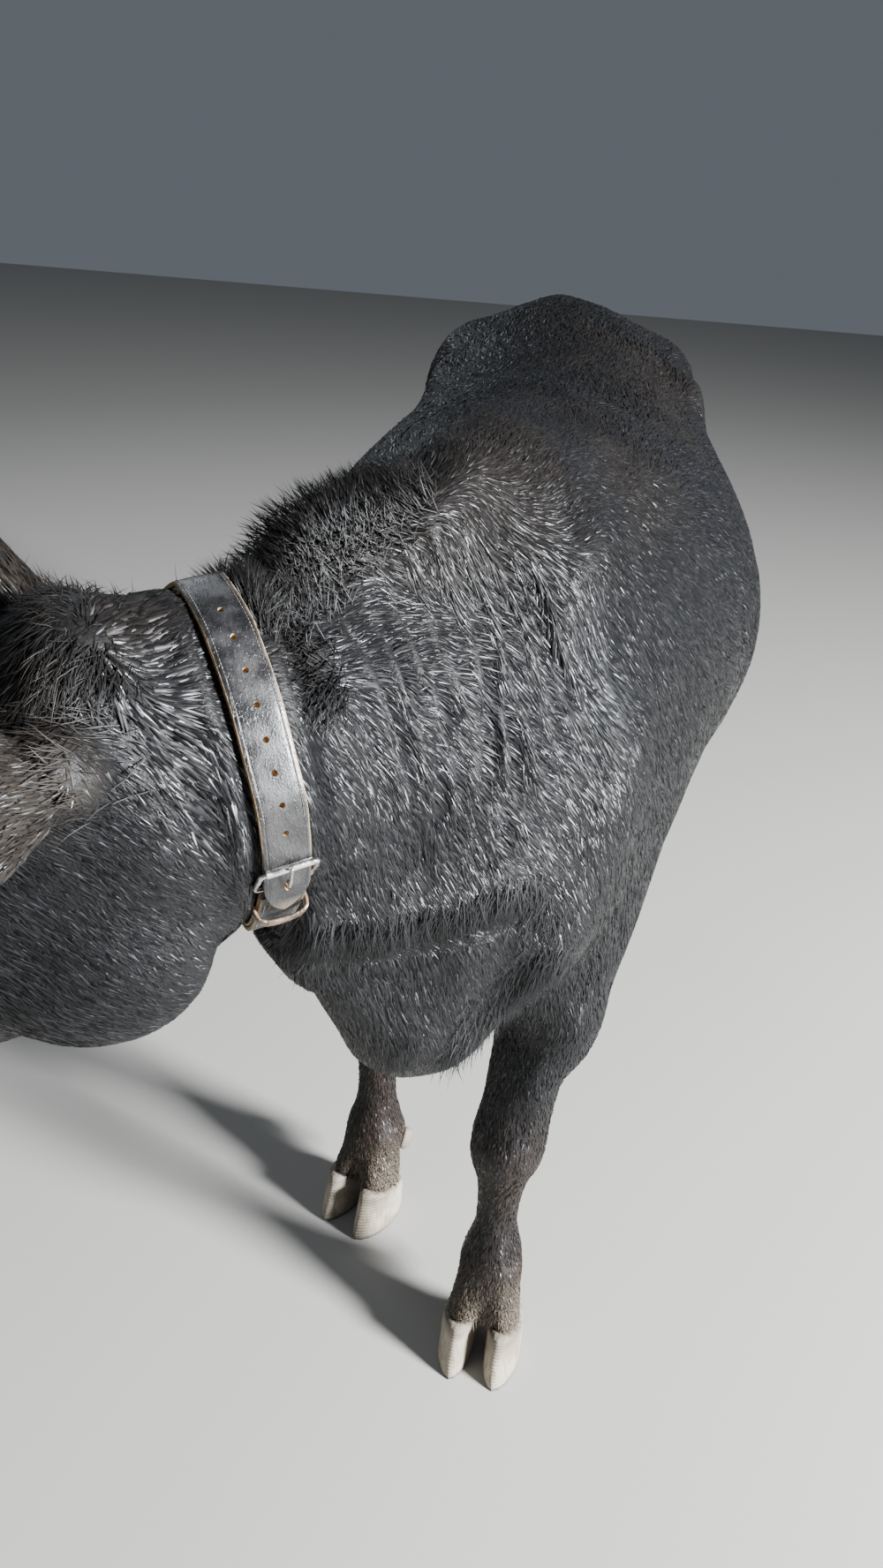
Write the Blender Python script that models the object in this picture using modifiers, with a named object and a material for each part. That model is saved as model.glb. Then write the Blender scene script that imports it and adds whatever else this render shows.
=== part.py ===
"""A life-size still model of a young black Angus steer, standing with its neck bent to its right.

It wears a buckled leather neck strap. The body is modelled whole, as one skin over lofted and rounded
masses, and is then parted by thin cuts into the pieces that a person would name. Metres, +Z up. The
head end faces -Y and the animal's left side is +X, and all four feet stand on the floor at Z = 0.
"""

import math
import random

import bmesh
import bpy
from mathutils import Matrix, Vector
from mathutils.bvhtree import BVHTree

# Driving dimensions
ORIGIN_SHIFT = Vector((0.092, -0.353, 0.0))  # moves the middle of the whole outline onto the origin
GAP = 0.0003  # what touching pieces keep between them
VOXEL = 0.0068  # grain of the skin that fuses the masses
BODY_TRIANGLES = 4480
RING_POINTS = 28
TABLE_STEPS = 5

HEAD_POLL = Vector((-0.200, -0.390, 1.118))  # top of the head between the ears
HEAD_HEADING = math.radians(70)  # how far the head is turned to the animal's right
HEAD_PITCH = math.radians(25)
HEAD_ROLL = math.radians(-9)
HEAD_SCALE = 1.07

EYE_RADIUS = 0.0195
EYE_PLACE = Vector((0.168, 0.084, -0.082))
EYE_LOOK = Vector((0.40, 0.90, 0.12)).normalized()
LID_THICK = 0.0045
LID_OPENING = (0.0175, 0.0115)

EAR_LENGTH = 0.205
EAR_WIDTH = 0.072
EAR_THICK = 0.0055

STRAP_WIDE = 0.038
STRAP_THICK = 0.0045
LINING_THICK = 0.0035
STRAP_POINTS = 56

CORONET = 0.062
CORONET_TILT = math.radians(17)
CLAW_SPREAD = 0.0285

COAT = ("coat_black", (0.012, 0.011, 0.012), 0.42, 0.0)
EYE = ("eye_brown", (0.035, 0.018, 0.010), 0.06, 0.0)
HORN = ("hoof_horn", (0.42, 0.36, 0.27), 0.62, 0.0)
LEATHER = ("collar_leather", (0.085, 0.080, 0.085), 0.42, 0.0)
LINING = ("collar_lining", (0.36, 0.25, 0.13), 0.85, 0.0)
STEEL = ("buckle_steel", (0.62, 0.62, 0.60), 0.34, 1.0)


# Scene, materials and small helpers


def clear_scene():
    for old in list(bpy.data.objects):
        bpy.data.objects.remove(old)


def collection(name):
    made = bpy.data.collections.new(name)
    bpy.context.scene.collection.children.link(made)
    return made


def material(recipe):
    name, colour, roughness, metallic = recipe
    made = bpy.data.materials.get(name)
    if made is None:
        made = bpy.data.materials.new(name)
        made.use_nodes = True
        shader = made.node_tree.nodes["Principled BSDF"]
        shader.inputs["Base Color"].default_value = (*colour, 1)
        shader.inputs["Roughness"].default_value = roughness
        shader.inputs["Metallic"].default_value = metallic
    return made


def object_from(name, bm, recipe=COAT, where=None):
    mesh = bpy.data.meshes.new(name)
    bm.to_mesh(mesh)
    bm.free()
    mesh.materials.append(material(recipe))
    made = bpy.data.objects.new(name, mesh)
    (where or ANIMAL).objects.link(made)
    return made


def remove(made):
    bpy.data.objects.remove(made)


def applied(made):
    """Fixes the modifiers of an object into its mesh."""
    graph = bpy.context.evaluated_depsgraph_get()
    graph.update()
    mesh = bpy.data.meshes.new_from_object(made.evaluated_get(graph))
    made.modifiers.clear()
    made.data = mesh
    return made


def smooth_rows(table, steps=TABLE_STEPS):
    """The rows of a table of sizes, with more rows between them on a smooth curve."""
    rows = [table[0], *table, table[-1]]
    found = []
    for four in zip(rows, rows[1:], rows[2:], rows[3:]):
        for step in range(steps):
            t = step / steps
            shares = (
                -t / 2 + t**2 - t**3 / 2,
                1 - 2.5 * t**2 + 1.5 * t**3,
                t / 2 + 2 * t**2 - 1.5 * t**3,
                -(t**2) / 2 + t**3 / 2,
            )
            found.append(tuple(sum(part * size for part, size in zip(shares, sizes)) for sizes in zip(*four)))
    return [*found, tuple(table[-1])]


def rounded(angle, squareness):
    """Cosine and sine of a superellipse: 2 is an ellipse and more is squarer."""
    power = 2 / squareness
    c, s = math.cos(angle), math.sin(angle)
    return math.copysign(abs(c) ** power, c), math.copysign(abs(s) ** power, s)


def ring_angles(count=RING_POINTS):
    return [2 * math.pi * k / count for k in range(count)]


def loft(name, rings, recipe=COAT, where=None):
    """A closed skin over rings of equal point counts, with flat ends."""
    bm = bmesh.new()
    loops = [[bm.verts.new(point) for point in ring] for ring in rings]
    for low, high in zip(loops, loops[1:]):
        for k in range(len(low)):
            bm.faces.new((low[k - 1], low[k], high[k], high[k - 1]))
    bm.faces.new(loops[0])
    bm.faces.new(loops[-1])
    bmesh.ops.recalc_face_normals(bm, faces=bm.faces)
    return object_from(name, bm, recipe, where)


def ellipsoid(name, centre, radii, turn=None, segments=20, recipe=COAT):
    """A rounded mass with its own half sizes, turned by a rotation matrix."""
    bm = bmesh.new()
    place = Matrix.Translation(centre) @ (turn or Matrix.Identity(4)) @ Matrix.Diagonal((*radii, 1))
    bmesh.ops.create_uvsphere(bm, u_segments=segments, v_segments=segments // 2 + 2, radius=1, matrix=place)
    return object_from(name, bm, recipe)


def both_sides(name, centre, radii, turn_degrees=(0, 0, 0), middle=0.0):
    """The same mass on the left and on the right of a middle line."""
    for side in (1, -1):
        tip, roll, heading = (math.radians(a) for a in turn_degrees)
        turn = Matrix.Rotation(side * heading, 4, "Z") @ Matrix.Rotation(side * roll, 4, "Y")
        turn = turn @ Matrix.Rotation(tip, 4, "X")
        ellipsoid(name, Vector((middle + side * centre[0], centre[1], centre[2])), radii, turn)


def joined(name, pieces):
    """One object that holds the meshes of all the pieces."""
    bm = bmesh.new()
    for piece in pieces:
        part = piece.data.copy()
        part.transform(piece.matrix_world)
        bm.from_mesh(part)
        bpy.data.meshes.remove(part)
        remove(piece)
    return object_from(name, bm)


def islands(made):
    """The separate closed surfaces of a mesh, largest first, each as a new bmesh."""
    source = bmesh.new()
    source.from_mesh(made.data)
    bmesh.ops.triangulate(source, faces=source.faces)
    unseen = set(source.verts)
    groups = []
    while unseen:
        group, edge = set(), [unseen.pop()]
        while edge:
            vert = edge.pop()
            group.add(vert)
            for link in vert.link_edges:
                other = link.other_vert(vert)
                if other in unseen:
                    unseen.discard(other)
                    edge.append(other)
        groups.append(group)
    groups.sort(key=len, reverse=True)
    found = []
    for group in groups:
        piece = bmesh.new()
        copies = {vert: piece.verts.new(vert.co) for vert in group}
        for face in source.faces:
            corners = [copies.get(vert) for vert in face.verts]
            if None not in corners and piece.faces.get(corners) is None:
                piece.faces.new(corners)
        found.append(piece)
    source.free()
    return found


def keep_largest(made):
    pieces = islands(made)
    pieces[0].to_mesh(made.data)
    for piece in pieces:
        piece.free()
    return made


def grown(made, by=GAP):
    """A copy of a solid with its surface moved outwards, for cutting a neighbour back."""
    bm = bmesh.new()
    bm.from_mesh(made.data)
    bm.normal_update()
    for vert, normal in [(v, v.normal.copy()) for v in bm.verts]:
        vert.co += normal * by
    return object_from("grown", bm)


def tree_of(made):
    points = [v.co.copy() for v in made.data.vertices]
    return BVHTree.FromPolygons(points, [tuple(p.vertices) for p in made.data.polygons])


# Trunk: rings along the back. Each row is how far the ring lies to the left and behind the forefeet, the
# height of the back and of the belly line, the half width, the height where it is widest, and how square
# the section is above and below that height.
TRUNK = (
    (0.000, -0.215, 0.930, 0.670, 0.075, 0.790, 2.0, 2.0),
    (0.004, -0.150, 1.050, 0.600, 0.135, 0.800, 1.9, 2.1),
    (0.006, -0.060, 1.155, 0.545, 0.200, 0.800, 1.8, 2.2),
    (0.008, 0.050, 1.204, 0.522, 0.252, 0.800, 1.75, 2.2),
    (0.010, 0.180, 1.200, 0.508, 0.280, 0.820, 1.8, 1.9),
    (0.022, 0.340, 1.190, 0.496, 0.304, 0.840, 1.78, 1.75),
    (0.033, 0.520, 1.184, 0.486, 0.340, 0.846, 1.82, 1.78),
    (0.036, 0.680, 1.188, 0.494, 0.335, 0.850, 1.85, 1.9),
    (0.031, 0.820, 1.204, 0.535, 0.302, 0.870, 1.95, 2.2),
    (0.020, 0.940, 1.226, 0.600, 0.268, 0.900, 2.05, 2.5),
    (0.008, 1.080, 1.236, 0.670, 0.245, 0.930, 2.1, 2.5),
    (-0.008, 1.200, 1.215, 0.740, 0.200, 0.960, 2.1, 2.4),
    (-0.015, 1.285, 1.150, 0.830, 0.110, 0.990, 2.1, 2.2),
)


# Masses of a shoulder: name, centre from the middle line, half sizes, and how far each tips and leans out
SHOULDER = (
    ("shoulder_blade", (0.087, 0.050, 0.955), (0.062, 0.150, 0.185), 14, 14),
    ("shoulder_muscle", (0.153, 0.008, 0.838), (0.074, 0.140, 0.165), 10, 4),
    ("point_of_shoulder", (0.130, -0.080, 0.752), (0.064, 0.080, 0.105), 0, 0),
    ("triceps", (0.182, 0.090, 0.732), (0.060, 0.128, 0.145), -25, 8),
)
RIGHT_SHOULDER_BACK = 0.075  # the right shoulder lies further back, as its leg does


def trunk():
    rings = []
    for x, y, top, bottom, wide, widest, square_top, square_low in smooth_rows(TRUNK):
        ring = []
        for angle in ring_angles():
            upper = math.sin(angle) > 0
            c, s = rounded(angle, square_top if upper else square_low)
            ring.append((x + wide * c, y, widest + s * ((top - widest) if upper else (widest - bottom))))
        rings.append(ring)
    loft("trunk", rings)
    for side, back in ((1, 0.0), (-1, RIGHT_SHOULDER_BACK)):
        for name, centre, radii, tip, out in SHOULDER:
            turn = Matrix.Rotation(side * math.radians(out), 4, "Y")
            turn = turn @ Matrix.Rotation(math.radians(tip), 4, "X")
            ellipsoid(name, Vector((0.008 + side * centre[0], centre[1] + back, centre[2])), radii, turn)
    both_sides("hook_bone", (0.180, 0.900, 1.105), (0.050, 0.085, 0.055), (0, 25, 20), 0.030)
    both_sides("rump_muscle", (0.130, 1.060, 1.045), (0.115, 0.180, 0.150), (8, 14, 0), 0.008)
    both_sides("thigh_round", (0.155, 1.120, 0.870), (0.108, 0.160, 0.235), (6, -4, 0))
    both_sides("pin_bone", (0.075, 1.270, 1.080), (0.045, 0.045, 0.050), (0, 0, 0), -0.012)
    both_sides("stifle", (0.190, 0.935, 0.700), (0.074, 0.110, 0.135), (20, 0, 0))
    both_sides("flank_fold", (0.195, 0.830, 0.740), (0.062, 0.115, 0.125), (30, 0, 0), 0.02)
    ellipsoid("brisket", Vector((0.015, -0.100, 0.642)), (0.100, 0.120, 0.108))
    ellipsoid("brisket_point", Vector((0.002, -0.150, 0.655)), (0.078, 0.090, 0.100))
    ellipsoid("withers_hump", Vector((-0.006, 0.010, 1.115)), (0.070, 0.170, 0.092))
    tipped = Matrix.Rotation(math.radians(4), 4, "X")
    ellipsoid("sheath", Vector((0.028, 0.620, 0.492)), (0.045, 0.120, 0.045), tipped)
    tipped = Matrix.Rotation(math.radians(-10), 4, "X")
    ellipsoid("tail_head", Vector((-0.012, 1.190, 1.190)), (0.058, 0.120, 0.045), tipped)


# Neck: rings along its bent axis. Each row is the ring's centre, its half width and its half height.
NECK = (
    (0.010, 0.080, 0.895, 0.200, 0.268),
    (-0.015, -0.040, 0.905, 0.170, 0.256),
    (-0.050, -0.140, 0.920, 0.140, 0.230),
    (-0.090, -0.220, 0.965, 0.112, 0.154),
    (-0.112, -0.264, 0.984, 0.103, 0.128),
    (-0.130, -0.290, 0.994, 0.100, 0.121),
    (-0.150, -0.316, 0.997, 0.098, 0.124),
    (-0.170, -0.345, 0.995, 0.096, 0.137),
    (-0.215, -0.380, 1.000, 0.080, 0.120),
)


def neck_frames():
    """Centre, side, up, half width and half height of each ring of the neck."""
    rows = smooth_rows(NECK)
    centres = [Vector(row[:3]) for row in rows]
    frames = []
    for k, row in enumerate(rows):
        along = (centres[min(k + 1, len(rows) - 1)] - centres[max(k - 1, 0)]).normalized()
        side = Vector((0, 0, 1)).cross(along).normalized()
        frames.append((centres[k], side, along.cross(side), row[3], row[4]))
    return frames


def neck():
    rings = []
    for centre, side, up, wide, tall in neck_frames():
        ring = []
        for angle in ring_angles():
            c, s = rounded(angle, 2.15)
            narrow = 1 - (0.24 if s > 0 else 0.14) * s * s
            ring.append(centre + side * (wide * c * narrow) + up * (tall * s))
        rings.append(ring)
    loft("neck_mass", rings)
    turned = Matrix.Rotation(math.radians(-30), 4, "Z")
    ellipsoid("crest", Vector((-0.076, -0.128, 1.106)), (0.064, 0.112, 0.062), turned)
    turned = Matrix.Rotation(math.radians(-14), 4, "X")
    ellipsoid("dewlap", Vector((-0.038, -0.192, 0.745)), (0.055, 0.072, 0.105), turned)


# Head, in its own frame: +X to the nose, +Y to its left, +Z up, from the poll.
# Each row is a distance from the poll, the top and bottom of the profile, and the half width of the
# section at its top, middle and bottom.
HEAD = (
    (-0.060, -0.040, -0.225, 0.060, 0.082, 0.060),
    (0.000, -0.004, -0.262, 0.078, 0.096, 0.072),
    (0.055, 0.000, -0.296, 0.094, 0.101, 0.073),
    (0.110, -0.010, -0.305, 0.104, 0.101, 0.066),
    (0.165, -0.032, -0.300, 0.100, 0.096, 0.060),
    (0.220, -0.062, -0.292, 0.085, 0.090, 0.056),
    (0.275, -0.090, -0.285, 0.068, 0.077, 0.053),
    (0.330, -0.114, -0.281, 0.063, 0.073, 0.052),
    (0.380, -0.133, -0.282, 0.066, 0.076, 0.054),
    (0.420, -0.152, -0.278, 0.062, 0.071, 0.050),
    (0.446, -0.176, -0.262, 0.042, 0.050, 0.036),
)


def head_place():
    """Turns the head's own frame into the animal's."""
    own_to_animal = Matrix(((0, 1, 0, 0), (-1, 0, 0, 0), (0, 0, 1, 0), (0, 0, 0, 1)))
    return (
        Matrix.Translation(HEAD_POLL)
        @ Matrix.Rotation(-HEAD_HEADING, 4, "Z")
        @ own_to_animal
        @ Matrix.Rotation(HEAD_PITCH, 4, "Y")
        @ Matrix.Rotation(HEAD_ROLL, 4, "X")
        @ Matrix.Scale(HEAD_SCALE, 4)
    )


def head_mass(name, centre, radii, turn_degrees=(0, 0, 0), sides=(1, -1)):
    """A rounded mass in the head's frame, on both sides unless told otherwise."""
    for side in sides:
        tip, pitch, heading = (math.radians(a) for a in turn_degrees)
        turn = Matrix.Rotation(side * heading, 4, "Z") @ Matrix.Rotation(pitch, 4, "Y")
        turn = turn @ Matrix.Rotation(side * tip, 4, "X")
        made = ellipsoid(name, Vector((centre[0], side * centre[1], centre[2])), radii, turn)
        made.data.transform(head_place())


def head():
    rings = []
    for x, top, bottom, wide_top, wide_mid, wide_low in smooth_rows(HEAD):
        middle, half = (top + bottom) / 2, (top - bottom) / 2
        ring = []
        for angle in ring_angles():
            c, s = rounded(angle, 2.5)
            wide = wide_mid + ((wide_top if s > 0 else wide_low) - wide_mid) * s * s
            ring.append(head_place() @ Vector((x, wide * c, middle + half * s)))
        rings.append(ring)
    loft("skull", rings)
    head_mass("cheek", (0.100, 0.072, -0.212), (0.088, 0.038, 0.084), (0, 10, 0))
    head_mass("brow", (0.156, 0.077, -0.055), (0.056, 0.027, 0.022), (0, 22, -14))
    head_mass("face_crest", (0.225, 0.074, -0.140), (0.065, 0.020, 0.018), (0, 26, -12))
    head_mass("orbit", EYE_PLACE, (EYE_RADIUS + LID_THICK,) * 3)
    head_mass("temple", (0.072, 0.066, -0.072), (0.066, 0.036, 0.052))
    head_mass("upper_lip", (0.398, 0.034, -0.222), (0.044, 0.046, 0.044))
    head_mass("nostril_wing", (0.414, 0.042, -0.186), (0.032, 0.030, 0.032))
    head_mass("chin", (0.384, 0.0, -0.278), (0.050, 0.046, 0.022), sides=(1,))
    head_mass("poll_bump", (0.004, 0.0, -0.012), (0.050, 0.060, 0.034), sides=(1,))
    head_mass("nose_bridge", (0.275, 0.0, -0.098), (0.120, 0.040, 0.024), (0, 26, 0), sides=(1,))


# Legs. Each row is a ring's centre, its half width and its half depth, from the body down to the fetlock.
FORELEG = (
    (0.185, 0.085, 0.760, 0.070, 0.110),
    (0.174, 0.070, 0.660, 0.074, 0.108),
    (0.156, 0.048, 0.570, 0.066, 0.086),
    (0.139, 0.028, 0.490, 0.056, 0.066),
    (0.130, 0.014, 0.425, 0.046, 0.052),
    (0.124, 0.004, 0.375, 0.049, 0.048),
    (0.121, -0.002, 0.335, 0.048, 0.046),
    (0.119, 0.004, 0.298, 0.037, 0.037),
    (0.118, 0.006, 0.250, 0.030, 0.033),
    (0.118, 0.006, 0.200, 0.030, 0.034),
    (0.118, 0.004, 0.165, 0.040, 0.042),
    (0.118, 0.000, 0.140, 0.045, 0.044),
    (0.118, -0.010, 0.112, 0.042, 0.040),
)
HINDLEG = (
    (0.180, 1.060, 0.800, 0.100, 0.160),
    (0.182, 1.045, 0.700, 0.088, 0.140),
    (0.180, 1.070, 0.620, 0.068, 0.108),
    (0.174, 1.118, 0.560, 0.051, 0.080),
    (0.168, 1.160, 0.510, 0.041, 0.066),
    (0.165, 1.185, 0.465, 0.041, 0.060),
    (0.163, 1.192, 0.420, 0.043, 0.054),
    (0.161, 1.190, 0.375, 0.038, 0.046),
    (0.160, 1.186, 0.330, 0.032, 0.040),
    (0.159, 1.180, 0.260, 0.030, 0.037),
    (0.158, 1.174, 0.205, 0.032, 0.038),
    (0.158, 1.168, 0.165, 0.042, 0.044),
    (0.158, 1.160, 0.140, 0.045, 0.044),
    (0.158, 1.148, 0.112, 0.042, 0.040),
)
# side, table, how far each foot stands from the table's place, and how far its toes turn out
FEET = {
    "fore_left": (1, FORELEG, Vector((0.0, -0.015, 0)), math.radians(-4)),
    "fore_right": (-1, FORELEG, Vector((0.030, 0.185, 0)), math.radians(-24)),
    "hind_left": (1, HINDLEG, Vector((0.0, -0.060, 0)), math.radians(8)),
    "hind_right": (-1, HINDLEG, Vector((0.0, 0.055, 0)), math.radians(-8)),
}
STEP_FREE = 0.52  # below this height a leg moves with its foot
STEP_FIXED = 0.78  # above this height it stays with the trunk


def foot_offset(step, height):
    """How far a leg's ring is carried by its step, from none at the body to all of it below the elbow."""
    share = min(1.0, max(0.0, (STEP_FIXED - height) / (STEP_FIXED - STEP_FREE)))
    return step * (share * share * (3 - 2 * share))


def foot_frame(foot):
    """Places a foot's own frame, +Y to the heel, on the floor under its fetlock."""
    side, table, step, toe_out = FEET[foot]
    x, y = table[-1][:2]
    return Matrix.Translation(Vector((side * x, y, 0)) + step) @ Matrix.Rotation(toe_out, 4, "Z")


def leg(foot):
    side, table, step, _ = FEET[foot]
    rings = []
    for x, y, z, wide, deep in smooth_rows(table):
        centre = Vector((side * x, y, z)) + foot_offset(step, z)
        ring = []
        for angle in ring_angles():
            c, s = rounded(angle, 2.1)
            ring.append(centre + Vector((wide * c, deep * s, 0)))
        rings.append(ring)
    loft("leg_" + foot, rings)
    place = foot_frame(foot)
    for digit in (-1, 1):
        rings = []
        for x, y, z, wide, deep in smooth_rows(DIGIT):
            centre = Vector((digit * x, y, z))
            ring = [centre + Vector((wide * math.cos(a), deep * math.sin(a), 0)) for a in ring_angles()]
            rings.append([place @ point for point in ring])
        loft("digit", rings)
    ellipsoid("fetlock_back", place @ Vector((0, 0.036, 0.128)), (0.034, 0.022, 0.030))


# Digit: offset from the middle of the foot, half width and half depth, down into the hoof.
DIGIT = (
    (0.014, 0.004, 0.150, 0.026, 0.034),
    (0.020, -0.002, 0.115, 0.024, 0.036),
    (0.025, -0.008, 0.085, 0.024, 0.040),
    (0.0275, -0.014, 0.060, 0.0245, 0.043),
    (0.0275, -0.016, 0.030, 0.0240, 0.043),
)


def limb_details():
    for foot, (side, table, step, _) in FEET.items():
        if foot.startswith("fore"):
            knee = Vector((side * 0.122, -0.022, 0.352)) + foot_offset(step, 0.35)
            ellipsoid("knee", knee, (0.040, 0.032, 0.044))
            bone = Vector((side * 0.122, 0.046, 0.375)) + foot_offset(step, 0.375)
            ellipsoid("knee_back", bone, (0.024, 0.020, 0.026))
            muscle = Vector((side * 0.165, 0.020, 0.560)) + foot_offset(step, 0.56)
            tipped = Matrix.Rotation(math.radians(10), 4, "X")
            ellipsoid("forearm_muscle", muscle, (0.062, 0.064, 0.110), tipped)
        else:
            heel = Vector((side * 0.163, 1.234, 0.512)) + foot_offset(step, 0.512)
            ellipsoid("point_of_hock", heel, (0.023, 0.026, 0.036))
            string = Vector((side * 0.168, 1.205, 0.585)) + foot_offset(step, 0.585)
            ellipsoid("hamstring", string, (0.022, 0.034, 0.110), Matrix.Rotation(math.radians(16), 4, "X"))
            muscle = Vector((side * 0.180, 1.085, 0.640)) + foot_offset(step, 0.64)
            tipped = Matrix.Rotation(math.radians(-20), 4, "X")
            ellipsoid("gaskin_muscle", muscle, (0.068, 0.095, 0.110), tipped)


# The whole body as one skin


def weights(made, name, rule):
    group = made.vertex_groups.new(name=name)
    levels = {}
    for vert in made.data.vertices:
        levels.setdefault(round(rule(vert.co), 1), []).append(vert.index)
    for level, indices in levels.items():
        group.add(indices, level, "REPLACE")


def head_share(place):
    """1 on the head, 0 well behind it."""
    own = HEAD_INVERSE @ place
    return min(1.0, max(0.0, (own.x + 0.03) / 0.05)) if abs(own.y) < 0.16 and own.z > -0.34 else 0.0


def softness(place):
    """How much the skin is smoothed: a lot on the trunk, a little on legs, head and below the throat."""
    low = min(1.0, max(0.12, (place.z - 0.42) / 0.25))
    throat = min(1.0, max(0.10, (place - THROAT_FOLD).length / 0.09 - 0.55))
    return min(low, throat, 1 - 0.93 * head_share(place))


THROAT_FOLD = Vector((-0.096, -0.255, 0.830))  # the crease between the throat and the brisket


def coarseness(place):
    """How many triangles the skin gives up: fewer on the head and on the lower legs."""
    return min(1 - 0.12 * head_share(place), 0.9 + 0.1 * min(1.0, max(0.0, (place.z - 0.30) / 0.2)))


def body_skin():
    trunk()
    neck()
    head()
    for foot in FEET:
        leg(foot)
    limb_details()
    body = joined("body", list(ANIMAL.objects))
    remesh = body.modifiers.new("fuse", "REMESH")
    remesh.mode = "VOXEL"
    remesh.voxel_size = VOXEL
    applied(body)
    weights(body, "soft", softness)
    smooth = body.modifiers.new("settle", "SMOOTH")
    smooth.factor = 0.5
    smooth.iterations = 110
    smooth.vertex_group = "soft"
    finish = body.modifiers.new("even", "SMOOTH")
    finish.factor = 0.5
    finish.iterations = 3
    applied(body)
    body.vertex_groups.clear()
    weights(body, "coarse", coarseness)
    thin = body.modifiers.new("thin", "DECIMATE")
    thin.ratio = BODY_TRIANGLES / (2 * len(body.data.polygons))
    thin.vertex_group = "coarse"
    thin.vertex_group_factor = 1.0
    applied(body)
    body.vertex_groups.clear()
    return keep_largest(turned_edges(body))


def turned_edges(made):
    """Turns the shared edges of neighbouring triangles the way that folds the surface least."""
    bm = bmesh.new()
    bm.from_mesh(made.data)
    bmesh.ops.triangulate(bm, faces=bm.faces)
    bmesh.ops.beautify_fill(bm, faces=bm.faces, edges=bm.edges, method="ANGLE")
    bm.to_mesh(made.data)
    bm.free()
    return made


# Cuts that part the body


def plate(centre, facing, radius):
    """A thin round plate that parts what it crosses."""
    bm = bmesh.new()
    turn = Vector(facing).to_track_quat("Z", "Y").to_matrix().to_4x4()
    place = Matrix.Translation(centre) @ turn
    bmesh.ops.create_cone(
        bm, cap_ends=True, segments=24, radius1=radius, radius2=radius, depth=1.3 * GAP, matrix=place
    )
    return object_from("plate", bm)


def leg_height(foot, z):
    """Centre, half width and half depth of a leg at a height."""
    side, table, step, _ = FEET[foot]
    rows = smooth_rows(table)
    x, y, _, wide, deep = min(rows, key=lambda row: abs(row[2] - z))
    return Vector((side * x, y, z)) + foot_offset(step, z), wide, deep


def leg_region(name, foot, extra):
    """A sleeve round one leg that ends in a dome inside the trunk, where the leg is parted from it."""
    crown, dome = LEG_CROWN[foot[:4]]
    rings = []
    dome_heights = [crown - dome + dome * math.sin(k * 0.17) for k in range(1, 10)]
    for height in (-0.05, 0.1, 0.2, 0.3, 0.4, 0.46, 0.52, *dome_heights):
        centre, wide, deep = leg_height(foot, max(height, 0.12))
        centre.z = height
        round_off = math.sqrt(max(0.02, 1 - max(0.0, (height - crown + dome) / dome) ** 2))
        wide, deep = ((size + LEG_MARGIN) * round_off + extra for size in (wide, deep))
        rings.append([centre + Vector((wide * math.cos(a), deep * math.sin(a), 0)) for a in ring_angles(20)])
    for point in rings[-1]:
        point.z += extra
    return loft(name, rings)


def hoof_block(foot):
    """All that lies under the coronet of one foot."""
    bm = bmesh.new()
    size = 0.22
    place = foot_frame(foot) @ Matrix.Translation((0, -0.01, CORONET + GAP))
    place = place @ Matrix.Rotation(-CORONET_TILT, 4, "X")
    bmesh.ops.create_cube(bm, size=size, matrix=place @ Matrix.Translation((0, 0, -size / 2)))
    return object_from("hoof_block", bm)


def boolean(made, others, operation, solver="EXACT"):
    """Joins or cuts an object with closed meshes, which are then removed."""
    group = collection("tools")
    for other in others:
        for home in list(other.users_collection):
            home.objects.unlink(other)
        group.objects.link(other)
    modifier = made.modifiers.new(operation, "BOOLEAN")
    modifier.operation = operation
    modifier.operand_type = "COLLECTION"
    modifier.collection = group
    modifier.solver = solver
    applied(made)
    for other in others:
        remove(other)
    bpy.data.collections.remove(group)
    return made


def combined(made, others, operation, solver="EXACT"):
    return keep_largest(boolean(made, others, operation, solver))


def parted(made, names, axis):
    """Splits an object that plates have cut, and names the pieces in order along an axis."""
    pieces = [piece for piece in islands(made) if len(piece.verts) > 30][: len(names)]
    recipe_mesh = made.data.materials[0]
    pieces.sort(key=lambda piece: sum((v.co.dot(axis) for v in piece.verts)) / len(piece.verts))
    remove(made)
    found = []
    for name, piece in zip(names, pieces):
        new = object_from(name, piece)
        new.data.materials[0] = recipe_mesh
        found.append(new)
    return found


def part_body(body):
    nodes = {}
    for foot in FEET:
        upper, lower, height = LEG_NAMES[foot[:4]]
        limb = object_copy(body, "limb")
        combined(limb, [leg_region("region", foot, 0.0)], "INTERSECT")
        boolean(limb, [plate(leg_height(foot, height)[0], (0, 0, 1), 0.12), hoof_block(foot)], "DIFFERENCE")
        names = (f"{foot}_{lower}", f"{foot}_{upper}")
        for made in parted(limb, names, Vector((0, 0, 1))):
            nodes[made.name] = made
    combined(body, [leg_region("region", foot, GAP) for foot in FEET], "DIFFERENCE")
    boolean(body, [plate(*NECK_CUT), plate(*HEAD_CUT)], "DIFFERENCE")
    for made in parted(body, ("head", "neck", "torso"), Vector((0.35, 1, 0))):
        nodes[made.name] = made
    return nodes


def object_copy(made, name):
    new = made.copy()
    new.data = made.data.copy()
    new.name = name
    ANIMAL.objects.link(new)
    return new


LEG_MARGIN = 0.044
LEG_CROWN = {"fore": (0.700, 0.130), "hind": (0.800, 0.150)}  # top of the sleeve and how deep its dome is
LEG_NAMES = {"fore": ("forearm", "cannon", 0.300), "hind": ("gaskin", "cannon", 0.375)}
NECK_CUT = (Vector((-0.040, -0.110, 0.900)), (-0.42, -0.88, 0.22), 0.45)
HEAD_CUT = (Vector((-0.165, -0.335, 0.980)), (-0.80, -0.58, -0.05), 0.26)


# Ears, eyes, mouth and nostrils


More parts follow.
